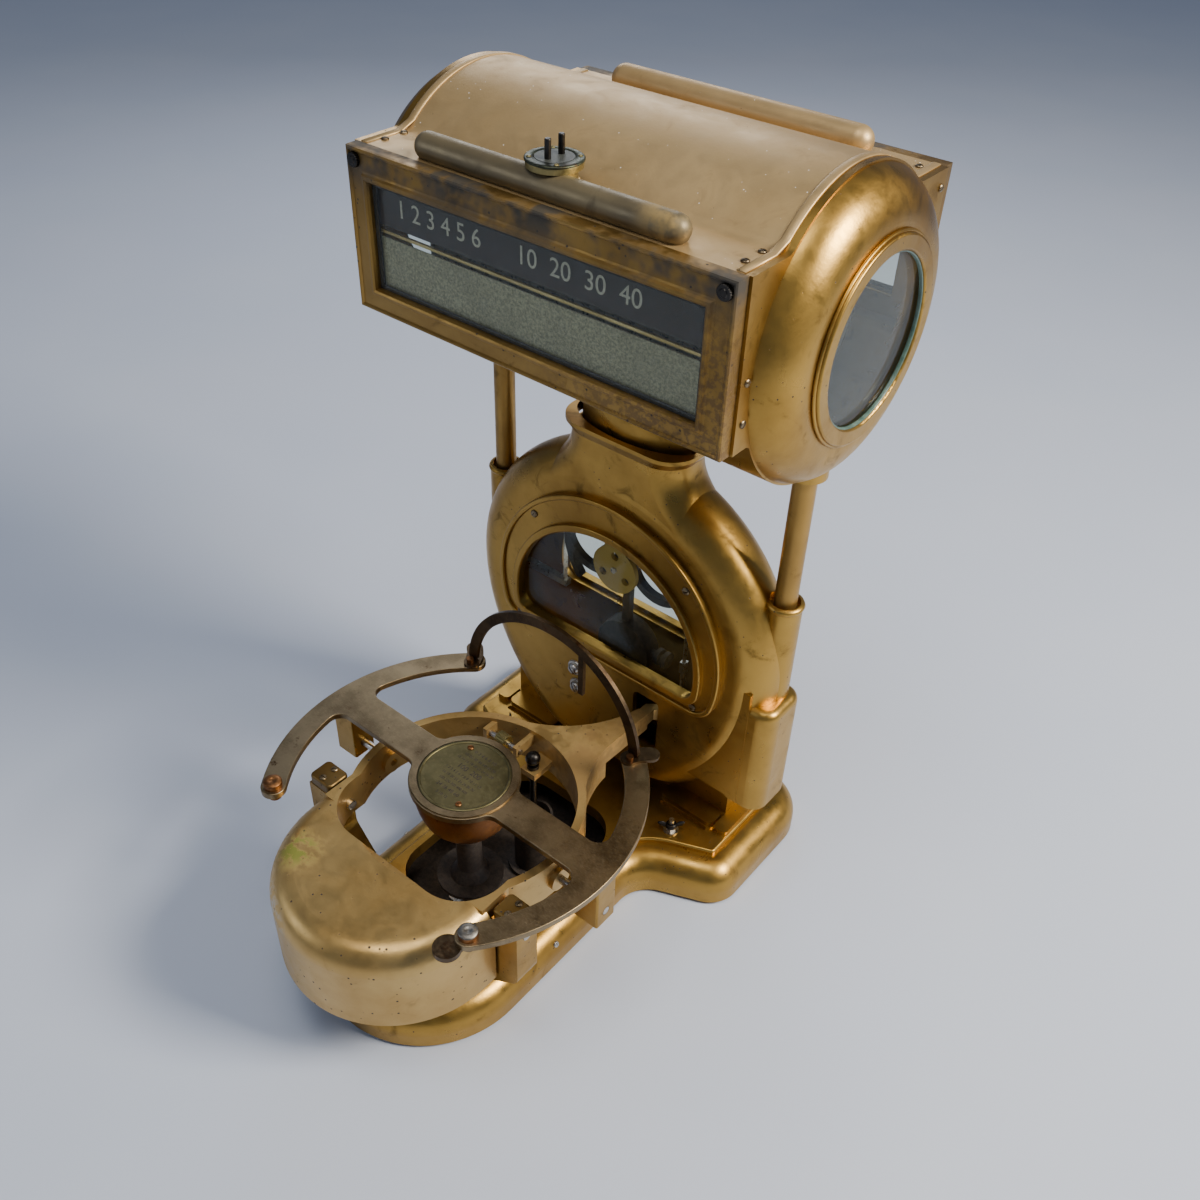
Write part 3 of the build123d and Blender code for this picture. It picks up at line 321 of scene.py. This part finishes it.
def printed_chart(name):
    """Cream drum chart with rows and columns of small dark print."""
    look = Look(name, (0.60, 0.56, 0.42), 0.6)
    print_marks = look.steps(look.noise(900, 2, vector=look.stretched((0.5, 1, 1))), 0.52, 0.58)
    columns = look.math("SINE", look.math("MULTIPLY", look.axis(0), 420))
    marks = look.math("MULTIPLY", print_marks, look.steps(columns, -0.3, 0.1))
    paper = look.mix(look.noise(14, 5, 0.6), (0.66, 0.61, 0.46), (0.46, 0.42, 0.30))
    look.set("Base Color", look.mix(marks, paper, (0.05, 0.045, 0.04)))
    look.bump(look.noise(500, 2), 0.00005, 0.4)
    return look.material


def make_materials():
    """Every finished material by its name: one for each slot of the record, then those of single pieces."""
    made = {}

    def add(maker, name, *colours, **details):
        made[name] = maker(name, *colours, **details)

    add(gold_paint, "gold_casting", (0.47, 0.280, 0.064), (0.27, 0.146, 0.029), roughness=0.31,
        grime=0.6, metallic=0.94)
    add(gold_paint, "gold_sheet", (0.53, 0.365, 0.170), (0.43, 0.285, 0.120), roughness=0.42,
        pits=0.05, grime=0.25, metallic=0.62, specks=0.085)
    add(gold_paint, "dark_frame", (0.235, 0.140, 0.038), (0.085, 0.062, 0.032), roughness=0.34,
        pits=0.14, grime=0.75, metallic=0.85)
    add(worn_metal, "spider_metal", (0.33, 0.25, 0.145), (0.17, 0.125, 0.070), roughness=0.36,
        grain=(1, 6, 1), rust=0.16)
    # The fence's very dark brown tone is painted shade copied from its shaded face; the rust bloom is its
    # own.
    add(worn_metal, "fence_metal", (0.13, 0.088, 0.050), (0.055, 0.036, 0.022), roughness=0.36, rust=0.4)
    add(worn_metal, "copper", (0.30, 0.135, 0.050), (0.14, 0.065, 0.028), roughness=0.42, rust=0.35)
    add(worn_metal, "brass", (0.34, 0.27, 0.11), (0.16, 0.15, 0.07), roughness=0.40, rust=0.2)
    add(worn_metal, "steel", (0.58, 0.56, 0.52), (0.34, 0.31, 0.27), roughness=0.3, rust=0.15)
    add(worn_metal, "black_steel", (0.055, 0.050, 0.045), (0.026, 0.024, 0.022), roughness=0.36, rust=0.1)
    add(granular, "iron", (0.050, 0.036, 0.026), (0.020, 0.014, 0.011), scale=220, roughness=0.62,
        depth=0.0004)
    add(clear_glass, "glass", (0.945, 0.965, 0.940), film=0.03)
    add(clear_glass, "lamp_glass", (0.90, 0.87, 0.80), film=0.6, roughness=0.25)
    add(granular, "band", (0.040, 0.020, 0.012), (0.020, 0.010, 0.007), scale=300, roughness=0.5,
        depth=0.0001)
    # The window screen's grey-green speckle is a painted reflection of the ground in the window glass.
    add(granular, "screen", (0.40, 0.365, 0.235), (0.190, 0.172, 0.108), scale=420, roughness=0.7,
        depth=0.0008)
    add(printed_chart, "aluminium")
    add(granular, "rubber", (0.035, 0.034, 0.033), (0.018, 0.018, 0.018), scale=500, roughness=0.8)
    add(granular, "fibre", (0.055, 0.060, 0.050), (0.028, 0.030, 0.026), scale=400, roughness=0.55,
        depth=0.0001)
    add(gold_paint, "ochre", (0.50, 0.33, 0.07), (0.36, 0.22, 0.05), roughness=0.5, metallic=0.2)

    lobe_low, lobe_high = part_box("lever_casting")
    # The lever's gold is lighter than the casting gold: painted light that copies the sunlit top of the
    # lobe.
    add(gold_paint, "gold_lobe", (0.60, 0.400, 0.150), (0.44, 0.265, 0.080), roughness=0.34, pits=0.15,
        grime=0.4, metallic=0.88, stains=(
            ColourPatch((-0.070, lobe_low.y + 0.060, lobe_high.z), radius=0.030, squash=(1, 1, 1),
                  colour=(0.16, 0.165, 0.02), strength=1.0, scale=90),
            # Pale grey streak along the lobe's rounded front-left edge: a painted highlight.
            ColourPatch((-0.060, lobe_low.y + 0.016, lobe_high.z - 0.022), radius=0.042, squash=(0.7, 1.3, 2.2),
                  colour=(0.56, 0.53, 0.46), strength=0.9, scale=130),
            # Broad dark brown patch over the web in front of the posts: painted shade where the web lies in
            # shadow.
            ColourPatch((0.025, post_plane - 0.110, lobe_high.z), radius=0.150, squash=(1, 1, 0.4),
                  colour=(0.150, 0.078, 0.020), strength=0.75, scale=6)))
    # The lamp tube's dull grey-brown gold is a painted shadow; the lighter patch at its right end is the
    # painted lit part.
    add(gold_paint, "patina", (0.230, 0.180, 0.095), (0.105, 0.085, 0.055), roughness=0.42, pits=0.10,
        grime=0.5, metallic=0.6, stains=(
            ColourPatch((0.125, post_plane - 0.134, 0.722), radius=0.050, squash=(1, 1, 1),
                  colour=(0.36, 0.24, 0.08), strength=0.9, scale=14),))
    add(gold_paint, "post_gold", (0.40, 0.235, 0.060), (0.24, 0.135, 0.036), grime=0.5)
    add(worn_metal, "plate_brass", (0.190, 0.165, 0.080), (0.100, 0.088, 0.040), roughness=0.42)
    add(granular, "pale_print", (0.62, 0.58, 0.46), (0.42, 0.38, 0.28), scale=500, roughness=0.5,
        depth=0.00002)
    add(worn_metal, "gold_line", (0.60, 0.46, 0.20), (0.42, 0.30, 0.11), roughness=0.4)
    add(gold_paint, "frame_paint", (0.36, 0.215, 0.058), (0.20, 0.115, 0.030), roughness=0.34, pits=0.14,
        grime=0.6, metallic=0.88, stains=(
            # Near-black band along the top edge of both frames, just under the lamp tube: a painted shadow.
            ColourPatch((0, post_plane, 0.724), radius=0.056, squash=(0, 0, 1),
                  colour=(0.040, 0.036, 0.028), strength=0.95, scale=7),
            ColourPatch((0.18, post_plane, 0.600), radius=0.130, squash=(0.6, 0, 1),
                  colour=(0.050, 0.020, 0.012), strength=0.45, scale=190)))
    add(worn_metal, "dark_green", (0.085, 0.095, 0.060), (0.040, 0.042, 0.030), roughness=0.42, rust=0.3)
    add(worn_metal, "aged_steel", (0.30, 0.28, 0.25), (0.15, 0.135, 0.115), roughness=0.42, rust=0.2)
    add(granular, "glass_edge", (0.120, 0.190, 0.155), (0.060, 0.110, 0.090), scale=90, roughness=0.3,
        depth=0.00005)
    add(worn_metal, "aged_screw", (0.26, 0.20, 0.12), (0.12, 0.09, 0.055), roughness=0.38, rust=0.3)
    return made


def dress_nodes():
    """Give every CAD node the material of its slot, or its own where it looks different from the rest."""
    own_looks = {
        "lever_casting": "gold_lobe",
        "inlet_pins": "black_steel",
        "rear_frame": "dark_frame",
        "front_lamp_tube": "patina",
        "posts": "post_gold",
        "name_plate": "plate_brass",
        "dashpot_plunger": "black_steel",
        "index_bars": "gold_line",
        "head_cradle": "gold_casting",
    }
    for part in frame["record"]["subparts"]:
        name = part["node"]
        data = nodes[name].data
        data.materials.clear()
        data.materials.append(looks[own_looks.get(name, part["material_slot"])])
        for face in data.polygons:
            face.material_index = 0


# ------------------------------------------------------------------ mesh helpers
def mesh_piece(name, shape, look, body, smooth=True, place=None):
    """Turn a bmesh into a finished piece that rides on a body."""
    data = bpy.data.meshes.new(name)
    shape.normal_update()
    shape.to_mesh(data)
    shape.free()
    piece = bpy.data.objects.new(name, data)
    bpy.context.scene.collection.objects.link(piece)
    if place is not None:
        piece.matrix_world = place
    data.materials.append(looks[look])
    if smooth:
        for face in data.polygons:
            face.use_smooth = True
    bpy.context.view_layer.update()
    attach(piece, body)
    return piece


def at(x, depth, z):
    """Place in metres from millimetres, with depth measured back from the posts' plane."""
    return Vector((x * MM, post_plane + depth * MM, z * MM))


def aimed(place, normal, spin=0.0):
    """Frame at a place whose Z axis points along a normal."""
    turn = Vector(normal).to_track_quat("Z", "Y").to_matrix().to_4x4()
    return Matrix.Translation(place) @ turn @ Matrix.Rotation(spin, 4, "Z")


def bridge(shape, rows, closed):
    """Four-sided faces between each row of corners and the next."""
    for low, high in zip(rows, rows[1:]):
        count = len(low)
        for k in range(count if closed else count - 1):
            after = (k + 1) % count
            shape.faces.new((low[k], low[after], high[after], high[k]))


def lathe(profile, segments):
    """Solid of revolution about Z from (radius, height) points in millimetres."""
    shape = bmesh.new()
    rings = []
    for radius, height in profile:
        reach = radius * MM
        level = height * MM
        if radius == 0:
            rings.append([shape.verts.new((0, 0, level))])
        else:
            rings.append([shape.verts.new((reach * math.cos(2 * math.pi * k / segments),
                                           reach * math.sin(2 * math.pi * k / segments), level))
                          for k in range(segments)])
    for low, high in zip(rings, rings[1:]):
        for k in range(segments):
            corners = [low[k % len(low)], low[(k + 1) % len(low)],
                       high[(k + 1) % len(high)], high[k % len(high)]]
            corners = list(dict.fromkeys(corners))
            if len(corners) > 2:
                shape.faces.new(corners)
    bmesh.ops.recalc_face_normals(shape, faces=shape.faces)
    return shape


def slotted_head(radius_mm, height_mm):
    """Round screw head cut by a straight slot: two half domes on a thin disc."""
    shape = bmesh.new()
    radius = radius_mm * MM
    height = height_mm * MM
    half_slot = radius * 0.13
    floor = height * 0.35
    steps = 14
    for side in (-1, 1):
        start = math.asin(half_slot / radius)
        rows = []
        for level, swell in ((0.0, 1.0), (0.45, 0.98), (0.78, 0.80), (0.95, 0.50), (1.0, 0.0)):
            row = []
            for k in range(steps + 1):
                turn = start + (math.pi - 2 * start) * k / steps
                x = radius * swell * math.cos(turn)
                y = max(half_slot, radius * swell * math.sin(turn))
                row.append(shape.verts.new((x, side * y, height * level)))
            rows.append(row)
        bridge(shape, rows, closed=False)
        wall = [row[0] for row in rows] + [row[-1] for row in reversed(rows)]
        shape.faces.new(wall)
        shape.faces.new(list(reversed(rows[0])))
    base = bmesh.ops.create_cone(shape, cap_ends=True, segments=28, radius1=radius * 0.97,
                                 radius2=radius * 0.97, depth=floor)
    bmesh.ops.translate(shape, verts=base["verts"], vec=(0, 0, floor / 2))
    bmesh.ops.remove_doubles(shape, verts=shape.verts, dist=WELD)
    bmesh.ops.recalc_face_normals(shape, faces=shape.faces)
    return shape


def knurled_head(radius_mm, height_mm):
    """Thumb-screw head with a knurled rim and a small raised button."""
    shape = bmesh.new()
    radius = radius_mm * MM
    height = height_mm * MM
    count = 44
    rows = []
    for level, swell, knurl in ((0, 0.90, 0), (0.12, 1.0, 1), (0.72, 1.0, 1), (0.86, 0.88, 0),
                                (0.86, 0.55, 0), (1.0, 0.45, 0), (1.0, 0.0, 0)):
        row = []
        for k in range(count):
            reach = radius * swell * (1 - 0.07 * knurl * (k % 2))
            turn = 2 * math.pi * k / count
            row.append(shape.verts.new((reach * math.cos(turn), reach * math.sin(turn), height * level)))
        rows.append(row)
    bridge(shape, rows, closed=True)
    shape.faces.new(list(reversed(rows[0])))
    bmesh.ops.remove_doubles(shape, verts=shape.verts, dist=WELD)
    bmesh.ops.recalc_face_normals(shape, faces=shape.faces)
    return shape


def joined(items):
    """One shape made of (shape, place) pairs."""
    whole = bmesh.new()
    for shape, place in items:
        data = bpy.data.meshes.new("joined")
        shape.to_mesh(data)
        shape.free()
        data.transform(place)
        whole.from_mesh(data)
        bpy.data.meshes.remove(data)
    return whole


def lettering(words, size, depth):
    """Raised characters, centred, in metres."""
    curve = bpy.data.curves.new("lettering", "FONT")
    curve.body = words
    curve.size = size
    curve.extrude = depth
    curve.align_x = "CENTER"
    curve.align_y = "CENTER"
    holder = bpy.data.objects.new("lettering", curve)
    bpy.context.scene.collection.objects.link(holder)
    bpy.context.view_layer.update()
    data = bpy.data.meshes.new_from_object(holder)
    shape = bmesh.new()
    shape.from_mesh(data)
    bpy.data.objects.remove(holder)
    bpy.data.curves.remove(curve)
    bpy.data.meshes.remove(data)
    return shape


def rect_rim(low, high, margins, section):
    """Mitred rectangular rim in an upright plane; section points are (share of the margin, y)."""
    shape = bmesh.new()
    side, below, above = margins
    rows = []
    for share, y in section:
        left = low[0] - share * side
        right = high[0] + share * side
        bottom = low[1] - share * below
        top = high[1] + share * above
        rows.append([shape.verts.new((x, y, z)) for x, z in (
            (left, bottom), (right, bottom), (right, top), (left, top))])
    rows.append(rows[0])
    bridge(shape, rows, closed=True)
    bmesh.ops.recalc_face_normals(shape, faces=shape.faces)
    return shape


def strap(path, x_low, x_high, rise):
    """Thin strap over a (y, z) path, raised by its thickness along the path's normal."""
    shape = bmesh.new()
    rows = []
    for k, (y, z) in enumerate(path):
        before = path[max(k - 1, 0)]
        after = path[min(k + 1, len(path) - 1)]
        along = Vector((0, after[0] - before[0], after[1] - before[1])).normalized()
        up = Vector((0, -along.z, along.y))
        foot = Vector((0, y, z)) - up * 0.0004
        top = Vector((0, y, z)) + up * rise
        low_x = Vector((x_low, 0, 0))
        high_x = Vector((x_high, 0, 0))
        edge = (high_x - low_x) * 0.16
        rows.append([shape.verts.new(v) for v in (
            foot + low_x, top + low_x - up * rise * 0.4, top + low_x + edge, top + high_x - edge,
            top + high_x - up * rise * 0.4, foot + high_x)])
    bridge(shape, rows, closed=True)
    shape.faces.new(rows[0])
    shape.faces.new(list(reversed(rows[-1])))
    bmesh.ops.recalc_face_normals(shape, faces=shape.faces)
    return shape


# ------------------------------------------------------------------ the head's pieces
def window_frames():
    """Box frames with beads round both windows, with black gaskets and corner screws."""
    low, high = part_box("front_frame")
    glass_low, glass_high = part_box("head_windows")
    rear_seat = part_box("rear_frame")[0].y
    overlap = 3 * MM
    screw_x = 173.5 * MM
    screw_z = 704.5 * MM
    screw_seat = 11.0 * MM
    inner_low = (glass_low.x + overlap, glass_low.z + overlap)
    inner_high = (glass_high.x - overlap, glass_high.z - overlap)
    margins = (high.x - inner_high[0], inner_low[1] - low.z, high.z - inner_high[1])
    bead = ((0.0, 1.0), (0.0, 11.5), (0.03, 14.0), (0.10, 15.0), (0.19, 14.6), (0.24, 12.6),
            (0.30, 11.8), (0.83, 11.2), (0.88, 12.6), (0.94, 12.9), (0.99, 12.0), (1.0, 10.0), (1.0, 0.0))
    seal = ((-0.17, 6.6), (-0.17, 7.8), (-0.12, 8.6), (-0.02, 8.8), (0.0, 6.6))
    heads = []
    for name, node, seat, outward in (("front", "front_frame", high.y, -1),
                                      ("rear", "rear_frame", rear_seat, 1)):
        section = [(share, seat + outward * reach * MM) for share, reach in bead]
        rim = rect_rim(inner_low, inner_high, margins, section)
        piece = mesh_piece(f"{name}_frame_rim", rim, "frame_paint", "housing", smooth=False)
        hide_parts(node)
        section = [(share, seat + outward * reach * MM) for share, reach in seal]
        gasket = rect_rim(inner_low, inner_high, margins, section)
        mesh_piece(f"{name}_window_seal", gasket, "rubber", "housing", smooth=False)
        for side in (-1, 1):
            place = Vector((side * screw_x, seat + outward * screw_seat, screw_z))
            heads.append((knurled_head(6, 4.6), aimed(place, (0, outward, 0))))
    piece = mesh_piece("corner_screws", joined(heads), "black_steel", "housing", smooth=False)
    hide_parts("frame_thumbscrews")


def band_figures():
    """Pale figures on the dark band."""
    low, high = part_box("window_band")
    upright = Matrix.Rotation(math.radians(90), 4, "X")
    middle = (low.z + high.z) / 2
    items = []
    for words, x in (("1 2 3 4 5 6", -92), ("10  20  30  40", 46)):
        place = Matrix.Translation((x * MM, low.y - 0.12 * MM, middle)) @ upright
        items.append((lettering(words, 20.5 * MM, 0.08 * MM), place))
    mesh_piece("band_numbers", joined(items), "pale_print", "housing", smooth=False)


def cover_straps():
    """Straps over the joints between the cover and the end caps."""
    cover_low, cover_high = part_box("head_cover")
    shelf = 714 * MM
    fillet = 9 * MM
    fillet_turn = 0.06
    arc_steps = 32
    inner_edge = 171.5 * MM
    outer_edge = 178.6 * MM
    thickness = 1.1 * MM
    hump = cover_high.z - drum_z
    reach = math.sqrt(hump ** 2 - (shelf - drum_z) ** 2)
    start = math.acos(reach / hump)
    path = [(cover_low.y + 1 * MM, shelf), (drum_y - reach - fillet, shelf)]
    for k in range(arc_steps + 1):
        turn = math.pi - start - fillet_turn - (math.pi - 2 * start - 2 * fillet_turn) * k / arc_steps
        path.append((drum_y + hump * math.cos(turn), drum_z + hump * math.sin(turn)))
    path += [(drum_y + reach + fillet, shelf), (cover_high.y - 1 * MM, shelf)]
    for name, side in (("left", -1), ("right", 1)):
        low_x, high_x = sorted((side * inner_edge, side * outer_edge))
        mesh_piece(f"cover_strap_{name}", strap(path, low_x, high_x, thickness), "gold_sheet",
                   "housing")


def inlet_details():
    """Dark flange with four small screws, and a bead where the cup meets the lamp housing."""
    low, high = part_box("inlet_cup")
    x = (low.x + high.x) / 2
    y = (low.y + high.y) / 2
    screw_circle = 18.2 * MM
    flange = lathe([(14.8, 0), (21.4, 0), (21.8, 0.4), (21.8, 1.2), (20.8, 1.9), (14.8, 1.9), (14.8, 0)], 48)
    mesh_piece("inlet_flange", flange, "dark_green", "housing",
               place=Matrix.Translation((x, y, high.z - 0.6 * MM)))
    bead = lathe([(16.9, 0), (19.6, 0.3), (20.0, 1.6), (19.0, 2.8), (16.9, 3.2), (16.9, 0)], 48)
    mesh_piece("inlet_bead", bead, "gold_casting", "housing",
               place=Matrix.Translation((x, y, low.z + 6 * MM)))
    heads = []
    for k in range(4):
        turn = math.radians(45 + 90 * k)
        place = (x + screw_circle * math.cos(turn), y + screw_circle * math.sin(turn), high.z + 1.1 * MM)
        heads.append((slotted_head(1.9, 1.1), aimed(place, (0, 0, 1), 1.1 * k)))
    mesh_piece("inlet_screws", joined(heads), "brass", "housing", smooth=False)


def end_details():
    """Bead and thin gasket round each end glass."""
    seal_x = 211.2 * MM
    lip_x = 210.6 * MM
    for name, side in (("left", -1), ("right", 1)):
        seal = lathe([(65.8, 0), (65.8, 2.4), (66.4, 3.0), (67.4, 3.0), (67.4, 0), (65.8, 0)], 72)
        mesh_piece(f"end_seal_{name}", seal, "glass_edge", "housing",
                   place=aimed((side * seal_x, drum_y, drum_z), (side, 0, 0)))
        lip = lathe([(79.6, 0), (81.4, 0.3), (82.4, 1.6), (81.6, 3.0), (79.6, 3.4), (79.6, 0)], 72)
        mesh_piece(f"end_lip_{name}", lip, "gold_casting", "housing",
                   place=aimed((side * lip_x, drum_y, drum_z), (side, 0, 0)))


# ------------------------------------------------------------------ screws
def screw(x, depth, z, normal, radius, height):
    """Slotted head turned at random, with its place, in millimetres from the posts' plane."""
    place = aimed(at(x, depth, z), normal, random.uniform(0, 3))
    return slotted_head(radius, height), place


def small_screws():
    """Slotted heads for every small screw of the head, the case and the stands."""
    bezel_faces = ((-44, -1), (38, 1))
    bezel_places = ((-92, 350), (92, 350), (-112, 216), (112, 216))
    cap_depths = (-316, -302)
    shelf_depths = (-130, -110, 106)
    side_places = ((-138, 636), (-138, 604), (114, 700), (114, 604))
    upward = (0, 0, 1)
    heads = []
    for depth, outward in bezel_faces:
        for x, z in bezel_places:
            heads.append(screw(x, depth, z, (0, outward, 0), 4, 2.4))
    for side in (-1, 1):
        for depth in cap_depths:
            heads.append(screw(side * 119, depth, 175, upward, 3.4, 1.8))
        for depth in shelf_depths:
            heads.append(screw(side * 168, depth, 714, upward, 3.2, 2.0))
        for depth, z in side_places:
            heads.append(screw(side * 185, depth, z, (side, 0, 0), 3.2, 1.9))
    piece = mesh_piece("small_screws", joined(heads), "aged_screw", "housing", smooth=False)
    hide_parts("round_screws")


def wall_bolts():
    """Two large slotted bolts on washers in the case's front wall."""
    bolt_places = ((-39, 175), (-36, 151))
    bolts = []
    for x, z in bolt_places:
        washer = lathe([(0, 0), (9, 0), (9.2, 0.6), (8.6, 2.0), (0, 2.2)], 36)
        bolts.append((washer, aimed(at(x, -40, z), (0, -1, 0))))
        bolts.append((slotted_head(6.6, 5.4), aimed(at(x, -42, z), (0, -1, 0), 0.5 + x)))
    piece = mesh_piece("wall_bolts", joined(bolts), "steel", "housing", smooth=False)
    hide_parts("housing_bolts")


def plate_drive_screws():
    """Two copper screws in the round name plate."""
    low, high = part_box("name_plate")
    middle = (low + high) / 2
    circle = 35 * MM
    heads = []
    for angle in (125, 305):
        turn = math.radians(angle)
        place = (middle.x + circle * math.cos(turn), middle.y + circle * math.sin(turn), high.z)
        heads.append((slotted_head(3, 1.4), aimed(place, (0, 0, 1), 1.2 + angle)))
    piece = mesh_piece("plate_drive_screws", joined(heads), "copper", "platform", smooth=False)
    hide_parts("plate_screws")


def skirt_screws():
    """Slotted heads on the rounded shoulders of the base."""
    shoulder_x = 82
    shoulder_z = 19
    shoulder_radius = 25.8
    turn = math.radians(28)
    heads = []
    for side in (-1, 1):
        for depth in (-150, -236):
            x = side * (shoulder_x + shoulder_radius * math.cos(turn))
            z = shoulder_z + shoulder_radius * math.sin(turn)
            heads.append(screw(x, depth, z, (side * math.cos(turn), 0, math.sin(turn)), 3.2, 2.0))
    mesh_piece("skirt_screws", joined(heads), "steel", "housing", smooth=False)


# ------------------------------------------------------------------ platform and deck
def plate_engraving():
    """Rows of plain figures on the round plate, with a raised rim."""
    low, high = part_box("name_plate")
    middle = (low + high) / 2
    rim = lathe([(40.4, 0), (40.6, 0.5), (41.6, 0.9), (43.2, 0.7), (43.6, 0), (40.4, 0)], 72)
    mesh_piece("plate_rim", rim, "plate_brass", "platform",
               place=Matrix.Translation((middle.x, middle.y, high.z - 0.1 * MM)))
    rows = (
        (28, 5.4, "0 2 4 6 8 10"),
        (20.5, 4.4, "10 20 30 40 50 60 70"),
        (14, 4.0, "12 14 16 18 20 22 24 26 28"),
        (6, 8.0, "100  200"),
        (-2, 4.2, "1 2 3 4 5 6 7 8 9 10 11 12"),
        (-8.5, 4.0, "16 18 20 22 24 26 28 30"),
        (-15, 4.0, "100 200 300 400 500"),
        (-22, 5.6, "24 36 48 60"),
        (-30, 4.4, "5 10 15"),
    )
    items = []
    for offset, size, words in rows:
        place = Matrix.Translation((middle.x, middle.y + offset * MM, high.z + 0.05 * MM))
        items.append((lettering(words, size * MM, 0.06 * MM), place))
    mesh_piece("plate_figures", joined(items), "iron", "platform", smooth=False)


def button_caps():
    """Domed heads on the platter buttons: copper at the left, pale at the right."""
    button_x = 123
    button_depth = -367
    button_top = 209
    for name, side, look in (("left", -1, "copper"), ("right", 1, "aged_steel")):
        dome = lathe([(0, 0), (8.5, 0), (8.6, 0.5), (8.0, 1.2), (5.5, 1.9), (3.0, 2.2), (2.6, 1.8),
                      (0, 1.8)], 36)
        mesh_piece(f"button_cap_{name}", dome, look, "platform",
                   place=Matrix.Translation(at(side * button_x, button_depth, button_top)))


def stud_wings():
    """Wing washers on the two studs of the deck."""
    stud_x = 113
    stud_depth = -62
    washer_foot = 57.6
    wing_middle = 60.4
    items = []
    for side in (-1, 1):
        hub = lathe([(3.1, 0), (6.2, 0), (6.4, 1.0), (5.2, 4.0), (3.1, 4.4), (3.1, 0)], 30)
        items.append((hub, Matrix.Translation(at(side * stud_x, stud_depth, washer_foot))))
        for k in (-1, 1):
            wing = bmesh.new()
            bmesh.ops.create_uvsphere(wing, u_segments=20, v_segments=10, radius=1)
            bmesh.ops.scale(wing, verts=wing.verts, vec=(6.0 * MM, 1.4 * MM, 3.4 * MM))
            shift = Matrix.Rotation(0.7 * side, 4, "Z") @ Matrix.Translation((k * 9 * MM, 0, 0))
            middle = Matrix.Translation(at(side * stud_x, stud_depth, wing_middle))
            items.append((wing, middle @ shift @ Matrix.Rotation(-0.5 * k, 4, "Y")))
    mesh_piece("stud_wings", joined(items), "black_steel", "housing")


def post_rings():
    """Beads at the mouths of the post sockets."""
    post_x = 170
    socket_top = 354.6
    items = []
    for side in (-1, 1):
        bead = lathe([(14.2, 0), (17.0, -0.8), (18.2, -3.2), (17.2, -5.8), (16.2, -6.4), (14.2, -0.4),
                      (14.2, 0)], 44)
        items.append((bead, Matrix.Translation(at(side * post_x, 0, socket_top))))
    mesh_piece("socket_beads", joined(items), "gold_casting", "housing")


# ------------------------------------------------------------------ the script
make_camera()
make_floor()
make_light()
looks = make_materials()
dress_nodes()
window_frames()
band_figures()
cover_straps()
inlet_details()
end_details()
small_screws()
wall_bolts()
plate_drive_screws()
skirt_screws()
plate_engraving()
button_caps()
stud_wings()
post_rings()
